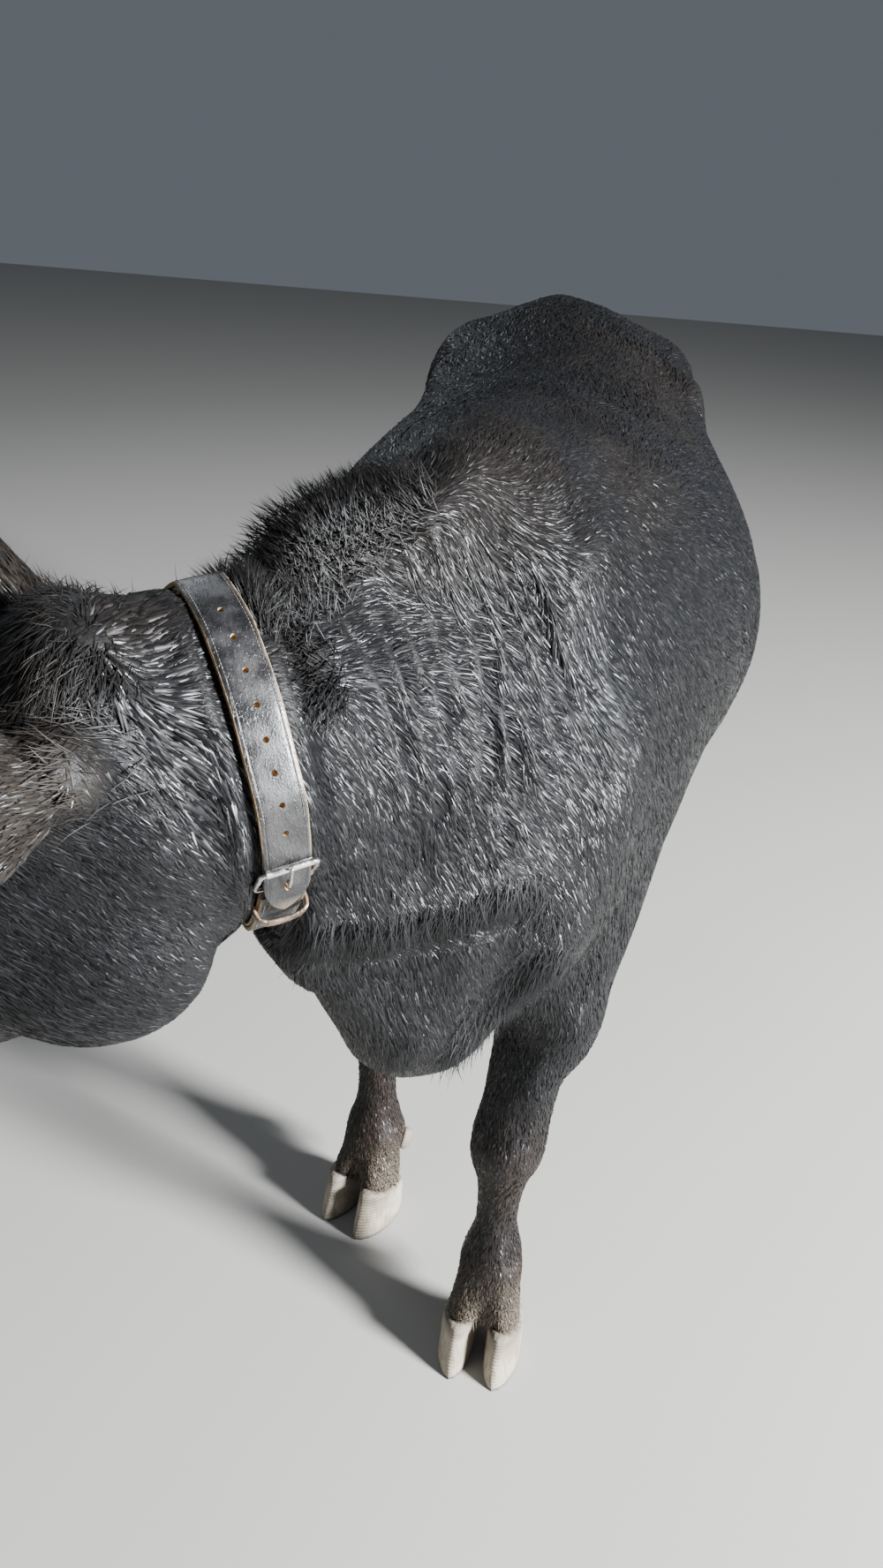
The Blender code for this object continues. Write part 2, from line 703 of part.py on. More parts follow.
def ear(name, side, head_object):
    """A leaf that is rolled into a tube at its root and opens to a cup, hung on the side of the head."""
    turn = head_place().to_3x3().normalized()
    mirror = Vector((1, side, 1))
    base = head_place() @ (EAR_BASE * mirror)
    along = (turn @ (EAR_ALONG * mirror)).normalized()
    opening = turn @ (EAR_OPENING * mirror)
    opening = (opening - along * along.dot(opening)).normalized()
    frame = Matrix((along, opening.cross(along), opening)).transposed()
    bm = bmesh.new()
    rows, columns = 9, 8
    grid = []
    for i in range(rows):
        t = i / (rows - 1)
        bulge = math.sin(math.pi * min(1, t * 1.12 + 0.06)) ** 0.8
        wide = EAR_WIDTH * (0.42 + 0.58 * bulge) * (1 - t**5) + 0.004
        roll = math.radians(118 - 84 * min(1, t * 1.7))
        radius = wide / roll
        row = []
        for j in range(columns):
            s = 2 * j / (columns - 1) - 1
            bend = s * roll
            across, lift = radius * math.sin(bend), radius * (1 - math.cos(bend))
            out = t * EAR_LENGTH * (1 - 0.05 * s * s)
            row.append(bm.verts.new(base + frame @ Vector((out, across, lift - EAR_DROOP * t * t))))
        grid.append(row)
    for low, high in zip(grid, grid[1:]):
        for a, b, c, d in zip(low, low[1:], high[1:], high):
            bm.faces.new((a, b, c))
            bm.faces.new((a, c, d))
    made = object_from(name, bm)
    shell = made.modifiers.new("thick", "SOLIDIFY")
    shell.thickness = EAR_THICK
    shell.offset = 0
    applied(made)
    facing_out(made)
    root = ellipsoid("root", base + frame @ Vector((0, 0, 0.012)), (0.040, 0.036, 0.032), frame.to_4x4(), 10)
    combined(made, [root], "UNION")
    return combined(made, [grown(head_object)], "DIFFERENCE")


def facing_out(made):
    bm = bmesh.new()
    bm.from_mesh(made.data)
    bmesh.ops.recalc_face_normals(bm, faces=bm.faces)
    bm.to_mesh(made.data)
    bm.free()


EAR_BASE = Vector((0.022, 0.088, -0.046))
EAR_ALONG = Vector((0.50, 0.72, 0.70))
EAR_OPENING = Vector((0.75, -0.35, -0.45))
EAR_DROOP = 0.016


def eye_place(side):
    return head_place() @ Vector((EYE_PLACE.x, side * EYE_PLACE.y, EYE_PLACE.z))


def eye_turn(side):
    turn = head_place().to_3x3().normalized()
    look = turn @ Vector((EYE_LOOK.x, side * EYE_LOOK.y, EYE_LOOK.z))
    up = turn @ Vector((0.12, 0, 1))
    across = up.cross(look).normalized()
    return Matrix((across, look.cross(across), look)).transposed().to_4x4()


def eye_opening(side):
    """The almond between the lids, cut straight in along the look of the eye."""
    bm = bmesh.new()
    wide, tall = LID_OPENING
    place = Matrix.Translation(eye_place(side)) @ eye_turn(side) @ Matrix.Translation((0, 0, 0.030))
    place = place @ Matrix.Diagonal((wide, tall, 1, 1))
    bmesh.ops.create_cone(
        bm, cap_ends=True, segments=16, radius1=0.86, radius2=1.3, depth=0.036, matrix=place
    )
    return object_from("opening", bm)


def ball(name, centre, radius, recipe, segments=12):
    return ellipsoid(name, centre, (radius,) * 3, eye_turn(1), segments, recipe)


def mouth_groove(head_object):
    """A thin groove along the lips, from one corner of the mouth round the muzzle to the other."""
    tree = tree_of(head_object)
    place, points = head_place(), 25
    inner, outer = [], []
    for k in range(points):
        angle = math.radians(-103 + 206 * k / (points - 1))
        droop = 0.010 * abs(math.sin(angle)) ** 3
        core = place @ Vector((0.345, 0, MOUTH_HEIGHT + droop))
        way = place.to_3x3() @ Vector((math.cos(angle), math.sin(angle), -0.04))
        hit, _, _, reach = tree.ray_cast(core, way)
        if hit is None:
            continue
        inner.append(core + way * (reach - MOUTH_DEEP))
        outer.append(core + way * (reach + 0.012))
    up = place.to_3x3() @ Vector((0, 0, MOUTH_THICK / 2))
    rings = [[a - up * 0.4, b - up * 1.6, b + up * 1.6, a + up * 0.4] for a, b in zip(inner, outer)]
    return loft("groove", rings)


MOUTH_HEIGHT = -0.246
MOUTH_DEEP = 0.009
MOUTH_THICK = 0.0032


def nostrils():
    found = []
    for side in (1, -1):
        place = head_place() @ Matrix.Translation((NOSTRIL_PLACE.x, side * NOSTRIL_PLACE.y, NOSTRIL_PLACE.z))
        place = place @ Matrix.Rotation(math.radians(side * 26), 4, "X")
        place = place @ Matrix.Rotation(math.radians(side * 34), 4, "Z") @ Matrix.Diagonal((*NOSTRIL_SIZE, 1))
        bm = bmesh.new()
        bmesh.ops.create_uvsphere(bm, u_segments=14, v_segments=9, radius=1, matrix=place)
        found.append(object_from("nostril", bm))
    return found


NOSTRIL_PLACE = Vector((0.444, 0.046, -0.192))
NOSTRIL_SIZE = (0.020, 0.0085, 0.0145)


# Hooves


def claw(name, foot, digit):
    """One claw: a flat sole, a sloping front wall and a tilted top that meets the skin."""
    own = Matrix.Translation((digit * CLAW_SPREAD, 0, 0)) @ Matrix.Rotation(math.radians(digit * 3), 4, "Z")
    rings = []
    for height, long, wide, back in CLAW:
        ring = []
        for angle in ring_angles(16):
            c, s = rounded(angle, 2.35)
            toe = max(0.0, -s)
            x = wide * c * (1 - 0.34 * toe**2.2)
            x *= 0.82 if x * digit < 0 else 1.0
            point = own @ Vector((x - digit * 0.0035 * toe, back + long * s, 0))
            point.z = height - height / CORONET * math.tan(CORONET_TILT) * (point.y + 0.01)
            ring.append(foot_frame(foot) @ point)
        rings.append(ring)
    return loft(name, rings, HORN)


# Rings of a claw: height, half length, half width and how far its middle lies behind the foot's
CLAW = (
    (0.0, 0.0530, 0.0255, -0.024),
    (0.014, 0.0525, 0.0262, -0.021),
    (0.034, 0.0485, 0.0256, -0.0165),
    (CORONET, 0.0445, 0.0246, -0.0135),
)


def dewclaw(name, foot, digit, host):
    place = foot_frame(foot) @ Vector((digit * 0.026, 0.048, 0.104))
    turn = foot_frame(foot).to_3x3().to_4x4() @ Matrix.Rotation(math.radians(-28), 4, "X")
    made = ellipsoid(name, place, (0.0125, 0.0150, 0.0190), turn, 7, HORN)
    return combined(made, [grown(host)], "DIFFERENCE")


# Tail


TAIL = (
    (-0.012, 1.200, 1.190, 0.036, 0.030),
    (-0.012, 1.268, 1.172, 0.034, 0.030),
    (-0.010, 1.318, 1.100, 0.028, 0.027),
    (-0.004, 1.334, 0.980, 0.022, 0.022),
    (0.002, 1.336, 0.840, 0.018, 0.018),
    (0.005, 1.334, 0.700, 0.015, 0.015),
    (0.006, 1.333, 0.580, 0.012, 0.012),
)


def tail(host):
    rows = smooth_rows(TAIL, 3)
    centres = [Vector(row[:3]) for row in rows]
    rings = []
    for k, row in enumerate(rows):
        along = (centres[min(k + 1, len(rows) - 1)] - centres[max(k - 1, 0)]).normalized()
        side = Vector((1, 0, 0))
        across, deep = side * row[3], along.cross(side) * row[4]
        rings.append([centres[k] + across * math.cos(a) + deep * math.sin(a) for a in ring_angles(10)])
    made = loft("tail", rings)
    return combined(made, [grown(host)], "DIFFERENCE")


def tail_switch(tail_object):
    """The tuft of long hair at the tail's end: a short core with overlapping locks round it."""
    draw = random.Random(11)
    x, y, low = TAIL[-1][:3]
    core = ellipsoid("tail_switch", Vector((x, y, low - 0.030)), (0.016, 0.016, 0.075), segments=10)
    locks = []
    for k in range(SWITCH_LOCKS):
        turn = 2 * math.pi * (k * GOLDEN_TURN + draw.uniform(-0.03, 0.03))
        out = Vector((math.cos(turn), math.sin(turn), 0))
        start = low + 0.012 - 0.065 * (k % 4) / 3
        long = draw.uniform(0.82, 1.0) * (start - SWITCH_TIP)
        points = []
        for t in (0, 0.3, 0.65, 1):
            swell = 0.008 + SWITCH_SWELL * math.sin(math.pi * min(1, 0.12 + 0.68 * t)) - 0.010 * t
            points.append(Vector((x + 0.005 * math.sin(5 * t + k), y, start - long * t)) + out * swell)
        locks.append(lock(points, out, 0.0135, 0.0055))
    made = combined(core, locks, "UNION")
    return combined(made, [grown(tail_object)], "DIFFERENCE")


SWITCH_LOCKS = 12
SWITCH_TIP = 0.285
SWITCH_SWELL = 0.020
GOLDEN_TURN = 0.381966  # share of a turn between one lock and the next


def lock(points, out, wide, thick):
    """A flat lock of hair that bends along its points, widest a third of the way along, with a fine tip."""
    rings = []
    last = len(points) - 1
    for k, point in enumerate(points):
        t = k / last
        along = (points[min(k + 1, last)] - points[max(k - 1, 0)]).normalized()
        side = along.cross(out).normalized()
        size = 0.08 + 0.92 * math.sin(math.pi * min(1, 0.22 + 0.78 * t)) ** 0.8
        flat, rise = side * (wide * size), side.cross(along) * (thick * size)
        rings.append([point + flat, point + rise, point - flat, point - rise])
    return loft("lock", rings)


# Tuft of longer hair between the ears


def poll_tuft(host):
    """A thin cap that follows the poll, with flat locks that part from it over the forehead and sides."""
    draw = random.Random(5)
    tree, place = tree_of(host), head_place()
    turn = place.to_3x3()
    over = turn @ Vector((0, 0, 0.06))
    cap = grown(host, POLL_CAP)
    cap.name = "poll_tuft"
    area = ellipsoid("area", place @ POLL_MIDDLE, POLL_AREA, turn.normalized().to_4x4(), 14)
    combined(cap, [area], "INTERSECT")
    locks = []
    for x, count in POLL_ROWS:
        for k in range(count):
            y = POLL_HALF * (2 * (k + 0.5) / count - 1) + draw.uniform(-0.003, 0.003)
            root = place @ Vector((x + draw.uniform(-0.004, 0.004), y, 0))
            lie = (turn @ Vector((0.6, 1.1 * y / POLL_HALF, 0))).normalized() * draw.uniform(0.036, 0.046)
            points = []
            for t in (0, 0.45, 1):
                spot, normal, _, _ = tree.ray_cast(root + lie * t + over, -over.normalized())
                points.append(spot + normal * (0.002 + POLL_RISE * math.sin(math.pi * (0.10 + 0.72 * t))))
            locks.append(lock(points, over.normalized(), 0.0125, 0.0042))
    made = combined(cap, locks, "UNION", "MANIFOLD")
    return combined(made, [grown(host)], "DIFFERENCE", "MANIFOLD")


POLL_MIDDLE = Vector((0.020, 0, 0))
POLL_AREA = (0.050, 0.044, 0.050)
POLL_CAP = 0.0065
POLL_RISE = 0.0105
POLL_HALF = 0.040
POLL_ROWS = ((-0.018, 3), (0.006, 4), (0.030, 4), (0.054, 3))  # how far in front of the poll, and locks


# Neck strap


def strap_path(neck_object):
    """The loop that a strap takes round the neck, as a smooth curve just off the skin."""
    tree = tree_of(neck_object)
    lean = COLLAR_UP.normalized()
    side = lean.cross(COLLAR_FACING).normalized()
    lean = COLLAR_FACING.cross(side).normalized()
    reach = []
    for k in range(STRAP_POINTS):
        angle = 2 * math.pi * k / STRAP_POINTS
        way = side * math.cos(angle) + lean * math.sin(angle)
        best = 0.0
        for shift in (-STRAP_REACH, -STRAP_REACH / 2, 0, STRAP_REACH / 2, STRAP_REACH):
            start = COLLAR_CENTRE + COLLAR_FACING * shift
            hit = tree.ray_cast(start + way * 0.4, -way)
            if hit[0] is not None:
                best = max(best, min(0.4 - hit[3], STRAP_FAR))
        reach.append(best)
    step = 2 * math.pi / STRAP_POINTS
    taut = []
    for k, r in enumerate(reach):
        for before in range(1, 9):
            for after in range(1, 9):
                p, q = reach[k - before], reach[(k + after) % STRAP_POINTS]
                sines = p * math.sin(before * step) + q * math.sin(after * step)
                chord = p * q * math.sin((before + after) * step) / sines
                r = max(r, chord)
        taut.append(r)
    reach = [max(r, (taut[k - 1] + 2 * r + taut[(k + 1) % STRAP_POINTS]) / 4) for k, r in enumerate(taut)]
    return [(side * math.cos(step * k) + lean * math.sin(step * k), r) for k, r in enumerate(reach)]


COLLAR_CENTRE = Vector((-0.127, -0.285, 0.975))
COLLAR_FACING = Vector((-0.80, -0.60, -0.13)).normalized()
COLLAR_UP = Vector((0, 0, 1))


def strap_point(path, place, height, across=0.0):
    """A point by its place along the loop, its height off the skin and how far it lies across the strap."""
    k = math.floor(place)
    share = place - k
    way0, reach0 = path[k % len(path)]
    way1, reach1 = path[(k + 1) % len(path)]
    way = way0.lerp(way1, share).normalized()
    return COLLAR_CENTRE + way * (reach0 + (reach1 - reach0) * share + height) + COLLAR_FACING * across


def band(name, path, stations, thick, wide, recipe, shape=lambda place: 1.0):
    """A flat strap through stations of place and height. Its shape can narrow it towards an end."""
    rings = []
    for place, height in stations:
        edge = COLLAR_FACING * (wide / 2 * shape(place))
        low, high = (strap_point(path, place, height + up) for up in (0, thick))
        rings.append([low - edge, high - edge, high + edge, low + edge])
    return loft(name, rings, recipe)


def rod(name, points, radius, recipe, sides=8):
    """A round rod through points, closed to a ring if its ends meet."""
    closed = (points[0] - points[-1]).length < 1e-6
    points = points[:-1] if closed else points
    bm = bmesh.new()
    loops = []
    count = len(points)
    for k, point in enumerate(points):
        before = points[k - 1] if closed or k else point
        after = points[(k + 1) % count] if closed or k < count - 1 else point
        along = (after - before).normalized()
        off = COLLAR_FACING if abs(along.dot(COLLAR_FACING)) < 0.95 else Vector((0, 0, 1))
        side = along.cross(off).normalized()
        if loops and side.dot(last_side) < 0:
            side = -side
        last_side = side
        other = along.cross(side)
        ring = [(side * math.cos(a) + other * math.sin(a)) * radius for a in ring_angles(sides)]
        loops.append([bm.verts.new(point + offset) for offset in ring])
    pairs = list(zip(loops, loops[1:] + loops[:1])) if closed else list(zip(loops, loops[1:]))
    for low, high in pairs:
        for k in range(sides):
            bm.faces.new((low[k - 1], low[k], high[k], high[k - 1]))
    if not closed:
        bm.faces.new(loops[0])
        bm.faces.new(loops[-1])
    bmesh.ops.recalc_face_normals(bm, faces=bm.faces)
    return object_from(name, bm, recipe)


def neck_strap(neck_object):
    """A strap that leaves the buckle's hinge bar, goes once round the neck and comes back over the bar."""
    path = strap_path(neck_object)
    round_path = [(k, GAP) for k in range(STRAP_POINTS + 1)]
    crease = band("crease", path, round_path, CREASE_DEEP, STRAP_WIDE + 0.010, LEATHER)
    combined(neck_object, [crease], "DIFFERENCE")
    flat = STRAP_LIFT + LINING_THICK + GAP
    over = flat + STRAP_THICK + 3 * GAP
    hinge = BUCKLE_PLACE
    start = hinge - 0.55
    run = [(start, flat)] + [(math.ceil(start) - 1 - k, flat) for k in range(STRAP_POINTS - 6)]
    lining = [(place, STRAP_LIFT) for place, _ in run]
    end = hinge - STRAP_POINTS
    tongue = [(end + step, flat + (over - flat) * share) for step, share in TONGUE_RISE]

    def pointed(place):
        t = max(0.0, 1 - (place - end - TONGUE_TIP + 0.05) / TONGUE_TAPER)
        return max(0.12, (1 - min(t, 1.0) ** 2.3)) ** 0.75

    strap = band("collar_strap", path, run + tongue, STRAP_THICK, STRAP_WIDE, LEATHER, pointed)
    holes = [punch(path, end + 0.95, 0.0075, 0.0027)]
    holes += [punch(path, end + HOLE_FIRST + HOLE_APART * k, HOLE_RADIUS, HOLE_RADIUS) for k in range(HOLES)]
    combined(strap, holes, "DIFFERENCE")
    band("collar_lining", path, lining, LINING_THICK, STRAP_WIDE - 0.0012, LINING)
    buckle(path, end, flat, over)


def punch(path, place, long, wide):
    """A cutter for one hole through the strap."""
    middle, out = strap_point(path, place, 0.010), strap_point(path, place, 0.030)
    up = (out - middle).normalized()
    along = up.cross(COLLAR_FACING).normalized()
    frame = Matrix((along, up.cross(along), up)).transposed().to_4x4()
    bm = bmesh.new()
    place, size = Matrix.Translation(middle), Matrix.Diagonal((long, wide, 1, 1))
    bmesh.ops.create_cone(
        bm, cap_ends=True, segments=8, radius1=1, radius2=1, depth=0.03, matrix=place @ frame @ size
    )
    return object_from("hole", bm)


def buckle(path, end, flat, over):
    """A frame of round wire, a prong from its hinge bar and a leather keeper below it."""
    half = STRAP_WIDE / 2 + BUCKLE_ROD + 0.0012
    low = STRAP_LIFT + BUCKLE_ROD + 0.0004
    high = flat + (over - flat) * 0.35 + STRAP_THICK + BUCKLE_ROD + 2 * GAP
    bend = ((0.25, 0.15), (0.5, 0.45), (0.75, 0.8))
    side = [(BUCKLE_LONG * share, low + (high - low) * rise) for share, rise in bend]
    outline = [(0, low, -half), (0, low, 0), (0, low, half), *[(p, h, half + 0.001) for p, h in side]]
    outline += [(BUCKLE_LONG, high, half), (BUCKLE_LONG, high, 0), (BUCKLE_LONG, high, -half)]
    outline += [(p, h, -half - 0.001) for p, h in reversed(side)] + [(0, low, -half)]
    frame = [strap_point(path, end + place, height, across) for place, height, across in outline]
    rod("buckle_frame", frame, BUCKLE_ROD, STEEL)
    rest = low + BUCKLE_ROD + PRONG + 2 * GAP
    top = high + BUCKLE_ROD + PRONG + 2 * GAP
    prong = ((-0.05, rest), (0.4, rest - 0.0008), (0.68, rest - 0.0006), (0.86, rest + 0.0014))
    prong += ((1.06, top - 0.0020), (1.26, top - 0.0006), (1.9, top), (2.9, top))
    rod("buckle_prong", [strap_point(path, end + place, height) for place, height in prong], PRONG, STEEL)
    edge, rise = STRAP_WIDE / 2 + 0.0022, over + STRAP_THICK
    arch = ((-edge, 0.0030), (-edge - 0.0006, rise * 0.6), (-edge + 0.002, rise + 0.003), (0, rise + 0.0055))
    arch = [*arch, *[(-across, height) for across, height in reversed(arch[:-1])]]
    rings = []
    for k, (across, height) in enumerate(arch):
        before, after = arch[max(k - 1, 0)], arch[min(k + 1, len(arch) - 1)]
        normal = Vector((-(after[1] - before[1]), after[0] - before[0])).normalized() * KEEPER_THICK / 2
        ring = []
        for shift, sign in ((-KEEPER_WIDE, -1), (-KEEPER_WIDE, 1), (KEEPER_WIDE, 1), (KEEPER_WIDE, -1)):
            place = end + KEEPER_PLACE + shift
            ring.append(strap_point(path, place, height + sign * normal.y, across + sign * normal.x))
        rings.append(ring)
    loft("collar_keeper", rings, LEATHER)


BUCKLE_PLACE = 51.3  # where along the loop the hinge bar lies
BUCKLE_LONG = 2.6
STRAP_FAR = 0.145  # the strap lies in the crease before the brisket, and goes no further out than this
CREASE_DEEP = 0.08
TONGUE_TIP = -1.9
TONGUE_TAPER = 2.9  # places over which the free end narrows to its tip
# How far above the hinge bar each point of the free end is, and its share of the way up onto the bar
TONGUE_RISE = (
    *((3.4, 0.1), (2.9, 0.25), (2.5, 0.35), (1.8, 0.52), (1.2, 0.68), (0.65, 0.84), (0.15, 0.96)),
    *((-0.3, 1), (-0.9, 1), (-1.5, 1), (TONGUE_TIP, 1)),
)
BUCKLE_ROD = 0.0021
PRONG = 0.0016
STRAP_LIFT = 0.0012
STRAP_REACH = STRAP_WIDE / 2 + 0.005  # half the width of neck that the strap and its buckle clear
KEEPER_PLACE = -2.75
KEEPER_WIDE = 0.40
KEEPER_THICK = 0.0026
HOLES = 8
HOLE_FIRST = 4.76  # places from the hinge bar to the first free hole
HOLE_APART = 1.557
HOLE_RADIUS = 0.0024


def main():
    nodes = part_body(body_skin())
    head_object = nodes["head"]
    for side, word in ((1, "left"), (-1, "right")):
        combined(head_object, [eye_opening(side)], "DIFFERENCE")
        radius = EYE_RADIUS * HEAD_SCALE
        combined(head_object, [ball("socket", eye_place(side), radius + GAP, COAT)], "DIFFERENCE")
        ball("eye_" + word, eye_place(side), radius, EYE)
    combined(head_object, [mouth_groove(head_object)], "DIFFERENCE")
    combined(head_object, nostrils(), "DIFFERENCE")
    poll_tuft(head_object)
    for side, word in ((1, "left"), (-1, "right")):
        ear("ear_" + word, side, head_object)
    for foot, (side, *_) in FEET.items():
        for digit in (1, -1):
            word = "outer" if digit == side else "inner"
            claw(f"{foot}_claw_{word}", foot, digit)
            dewclaw(f"{foot}_dewclaw_{word}", foot, digit, nodes[f"{foot}_cannon"])
    tail_object = tail(nodes["torso"])
    tail_switch(tail_object)
    neck_strap(nodes["neck"])
    for made in ANIMAL.objects:
        made.data.transform(Matrix.Translation(ORIGIN_SHIFT))
        made.data.shade_smooth()


clear_scene()
ANIMAL = collection("angus_steer")
HEAD_INVERSE = head_place().inverted()
main()
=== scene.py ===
"""The looks of a life-size still model of a young black steer with a buckled leather neck strap."""

import math

import bmesh
import bpy
import numpy as np
from mathutils import Matrix, Vector
from mathutils.bvhtree import BVHTree


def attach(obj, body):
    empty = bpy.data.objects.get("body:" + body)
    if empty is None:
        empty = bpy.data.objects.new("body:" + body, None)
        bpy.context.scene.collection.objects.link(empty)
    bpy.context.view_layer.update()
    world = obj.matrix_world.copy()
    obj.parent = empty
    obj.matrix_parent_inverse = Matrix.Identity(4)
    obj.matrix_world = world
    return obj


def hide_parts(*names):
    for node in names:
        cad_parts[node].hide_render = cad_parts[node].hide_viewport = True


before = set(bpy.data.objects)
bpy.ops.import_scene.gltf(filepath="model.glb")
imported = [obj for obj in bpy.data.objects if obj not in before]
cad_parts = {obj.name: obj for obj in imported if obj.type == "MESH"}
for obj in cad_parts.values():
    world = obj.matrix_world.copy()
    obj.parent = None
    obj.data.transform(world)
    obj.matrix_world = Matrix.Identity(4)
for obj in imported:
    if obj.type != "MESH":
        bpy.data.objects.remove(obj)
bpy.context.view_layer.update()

# View: a camera at a standing person's eye height, close in front of the shoulder and tipped down.
VIEW_FROM = Vector((0.267, -1.457, 1.408))
VIEW_HEADING = math.radians(8.69)
VIEW_DOWN = math.radians(27.55)
VIEW_ROLL = math.radians(-3.88)
VIEW_SENSOR, VIEW_LENS = 36, 26.905


def placed(name, data):
    """A new object in the scene, with its data."""
    made = bpy.data.objects.new(name, data)
    bpy.context.scene.collection.objects.link(made)
    return made


view_data = bpy.data.cameras.new("view")
view_data.sensor_width = VIEW_SENSOR
view_data.lens = VIEW_LENS
view = placed("view", view_data)
ahead = Vector((-math.sin(VIEW_HEADING), math.cos(VIEW_HEADING), 0)) * math.cos(VIEW_DOWN)
ahead.z = -math.sin(VIEW_DOWN)
level = Vector((math.cos(VIEW_HEADING), math.sin(VIEW_HEADING), 0))
upright = level.cross(ahead)
right = level * math.cos(VIEW_ROLL) - upright * math.sin(VIEW_ROLL)
up = level * math.sin(VIEW_ROLL) + upright * math.cos(VIEW_ROLL)
view.matrix_world = Matrix.Translation(VIEW_FROM) @ Matrix((right, up, -ahead)).transposed().to_4x4()
bpy.context.scene.camera = view


# Light: one strong lamp at the animal's left and a little in front, where the day's sun stood, a weak
# fill from its right front, a cool one from behind its right shoulder, and a dim even sky.
SKY_TINT, SKY_POWER = (0.78, 0.87, 1.0, 1), 0.15
FLOOR_TINT, FLOOR_SIZE = (0.33, 0.32, 0.30, 1), 14


def lamp(name, place, aim, size, power, colour):
    data = bpy.data.lights.new(name, "AREA")
    data.shape = "DISK"
    data.size, data.energy, data.color = size, power, colour
    made = placed(name, data)
    made.location = place
    made.rotation_euler = (Vector(aim) - Vector(place)).to_track_quat("-Z", "Y").to_euler()


def new_finish(name):
    """A new material, with its node tree and its shader."""
    made = bpy.data.materials.new(name)
    made.use_nodes = True
    return made, made.node_tree, made.node_tree.nodes["Principled BSDF"]


lamp("key", (4.4, -1.8, 2.35), (0.0, -0.2, 0.8), 1.1, 2150, (0.95, 0.98, 1.0))
lamp("fill", (-3.0, -3.2, 2.2), (0, -0.3, 0.8), 3.0, 30, (0.86, 0.93, 1.0))
lamp("rim", (-2.6, 2.6, 3.4), (0, 0.2, 0.8), 2.0, 40, (0.88, 0.94, 1.0))
world = bpy.data.worlds.new("studio")
world.use_nodes = True
sky = world.node_tree.nodes["Background"]
sky.inputs["Color"].default_value = SKY_TINT
sky.inputs["Strength"].default_value = SKY_POWER
bpy.context.scene.world = world

floor_bm = bmesh.new()
bmesh.ops.create_grid(floor_bm, x_segments=1, y_segments=1, size=FLOOR_SIZE)
floor_mesh = bpy.data.meshes.new("floor")
floor_bm.to_mesh(floor_mesh)
floor = placed("floor", floor_mesh)
floor_paint, _, shader = new_finish("floor_paint")
shader.inputs["Base Color"].default_value = FLOOR_TINT
shader.inputs["Roughness"].default_value = 0.9
floor_mesh.materials.append(floor_paint)


# Hide: the skin of the whole animal in one piece, under its hair. It is taken from the flesh of the
# solids, fused so that no seam is left, evened out, and drawn in by the depth of the coat.
FLESH = ["torso", "neck", "head", "ear_left", "ear_right", "tail"]
for end, upper in (("fore", "forearm"), ("hind", "gaskin")):
    for side in ("left", "right"):
        FLESH += [f"{end}_{side}_{upper}", f"{end}_{side}_cannon"]
FULL_GRAIN = 0.0032
HIDE_GRAIN = FULL_GRAIN
HIDE_TRIANGLES = 172000
CUT_FILL = 0.0006  # closes the thin cuts between the solids, so that they fuse
SAME_PLACE = 1e-5
TAIL_FROM = 0.955

POLL = Vector((-0.108, -0.743, 1.118))
HEAD = Matrix.Translation(POLL) @ Matrix.Rotation(math.radians(-70), 4, "Z")
HEAD = HEAD @ Matrix(((0, 1, 0, 0), (-1, 0, 0, 0), (0, 0, 1, 0), (0, 0, 0, 1)))
HEAD = HEAD @ Matrix.Rotation(math.radians(25), 4, "Y") @ Matrix.Rotation(math.radians(-9), 4, "X")
HEAD = HEAD @ Matrix.Scale(1.07, 4)
EAR_ROOT = (0.022, 0.088, -0.046)
EAR_WAY = (0.50, 0.72, 0.70)


def piece(name, bm, finish=None):
    mesh = bpy.data.meshes.new(name)
    bm.to_mesh(mesh)
    bm.free()
    if finish:
        mesh.materials.append(finish)
    return placed(name, mesh)


def applied(made):
    """Fixes an object's modifiers into its mesh."""
    graph = bpy.context.evaluated_depsgraph_get()
    graph.update()
    mesh = bpy.data.meshes.new_from_object(made.evaluated_get(graph))
    made.modifiers.clear()
    made.data = mesh
    return made


def points_of(mesh):
    found = np.empty(len(mesh.vertices) * 3, np.float32)
    mesh.vertices.foreach_get("co", found)
    return found.reshape(-1, 3).astype(float)


def set_points(mesh, places):
    mesh.vertices.foreach_set("co", places.astype(np.float32).ravel())
    mesh.update()


def normals_of(mesh):
    found = np.empty(len(mesh.vertices) * 3, np.float32)
    mesh.vertex_normals.foreach_get("vector", found)
    return found.reshape(-1, 3).astype(float)


def in_head(places):
    """Places in the head's own frame: X to the nose, Y to its left, Z up, from the poll."""
    back = np.array(HEAD.inverted())
    return places @ back[:3, :3].T + back[:3, 3]


def step(values, low, high):
    """A smooth change from 0 at low to 1 at high."""
    t = np.clip((values - low) / (high - low), 0, 1)
    return t * t * (3 - 2 * t)


def head_share(places):
    """1 on the head, 0 on the neck and all else."""
    own = in_head(places)
    inside = (np.abs(own[:, 1]) < 0.17) & (own[:, 2] > -0.36) & (own[:, 0] > -0.10)
    return step(own[:, 0], -0.045, 0.02) * inside


def ear_root(side):
    x, y, z = EAR_ROOT
    return np.array(HEAD @ Vector((x, side * y, z)))


def ear_way(side):
    """Which way an ear points, from its root to its tip."""
    x, y, z = EAR_WAY
    return np.array((HEAD.to_3x3() @ Vector((x, side * y, z))).normalized())


def ear_share(places):
    """1 on the ears, 0 on the head that they grow from."""
    found = np.zeros(len(places))
    for side in (1, -1):
        off, along = places - ear_root(side), ear_way(side)
        reach = off @ along
        away = np.linalg.norm(off - np.outer(reach, along), axis=1)
        found = np.maximum(found, step(reach, 0.004, 0.035) * (away < 0.075) * (reach < 0.24))
    return found


def weigh(made, name, values):
    """Gives each point its weight in a vertex group, in steps of a twentieth."""
    group = made.vertex_groups.new(name=name)
    levels = np.round(values * 20).astype(int)
    for level in np.unique(levels):
        group.add(np.flatnonzero(levels == level).tolist(), level / 20, "REPLACE")


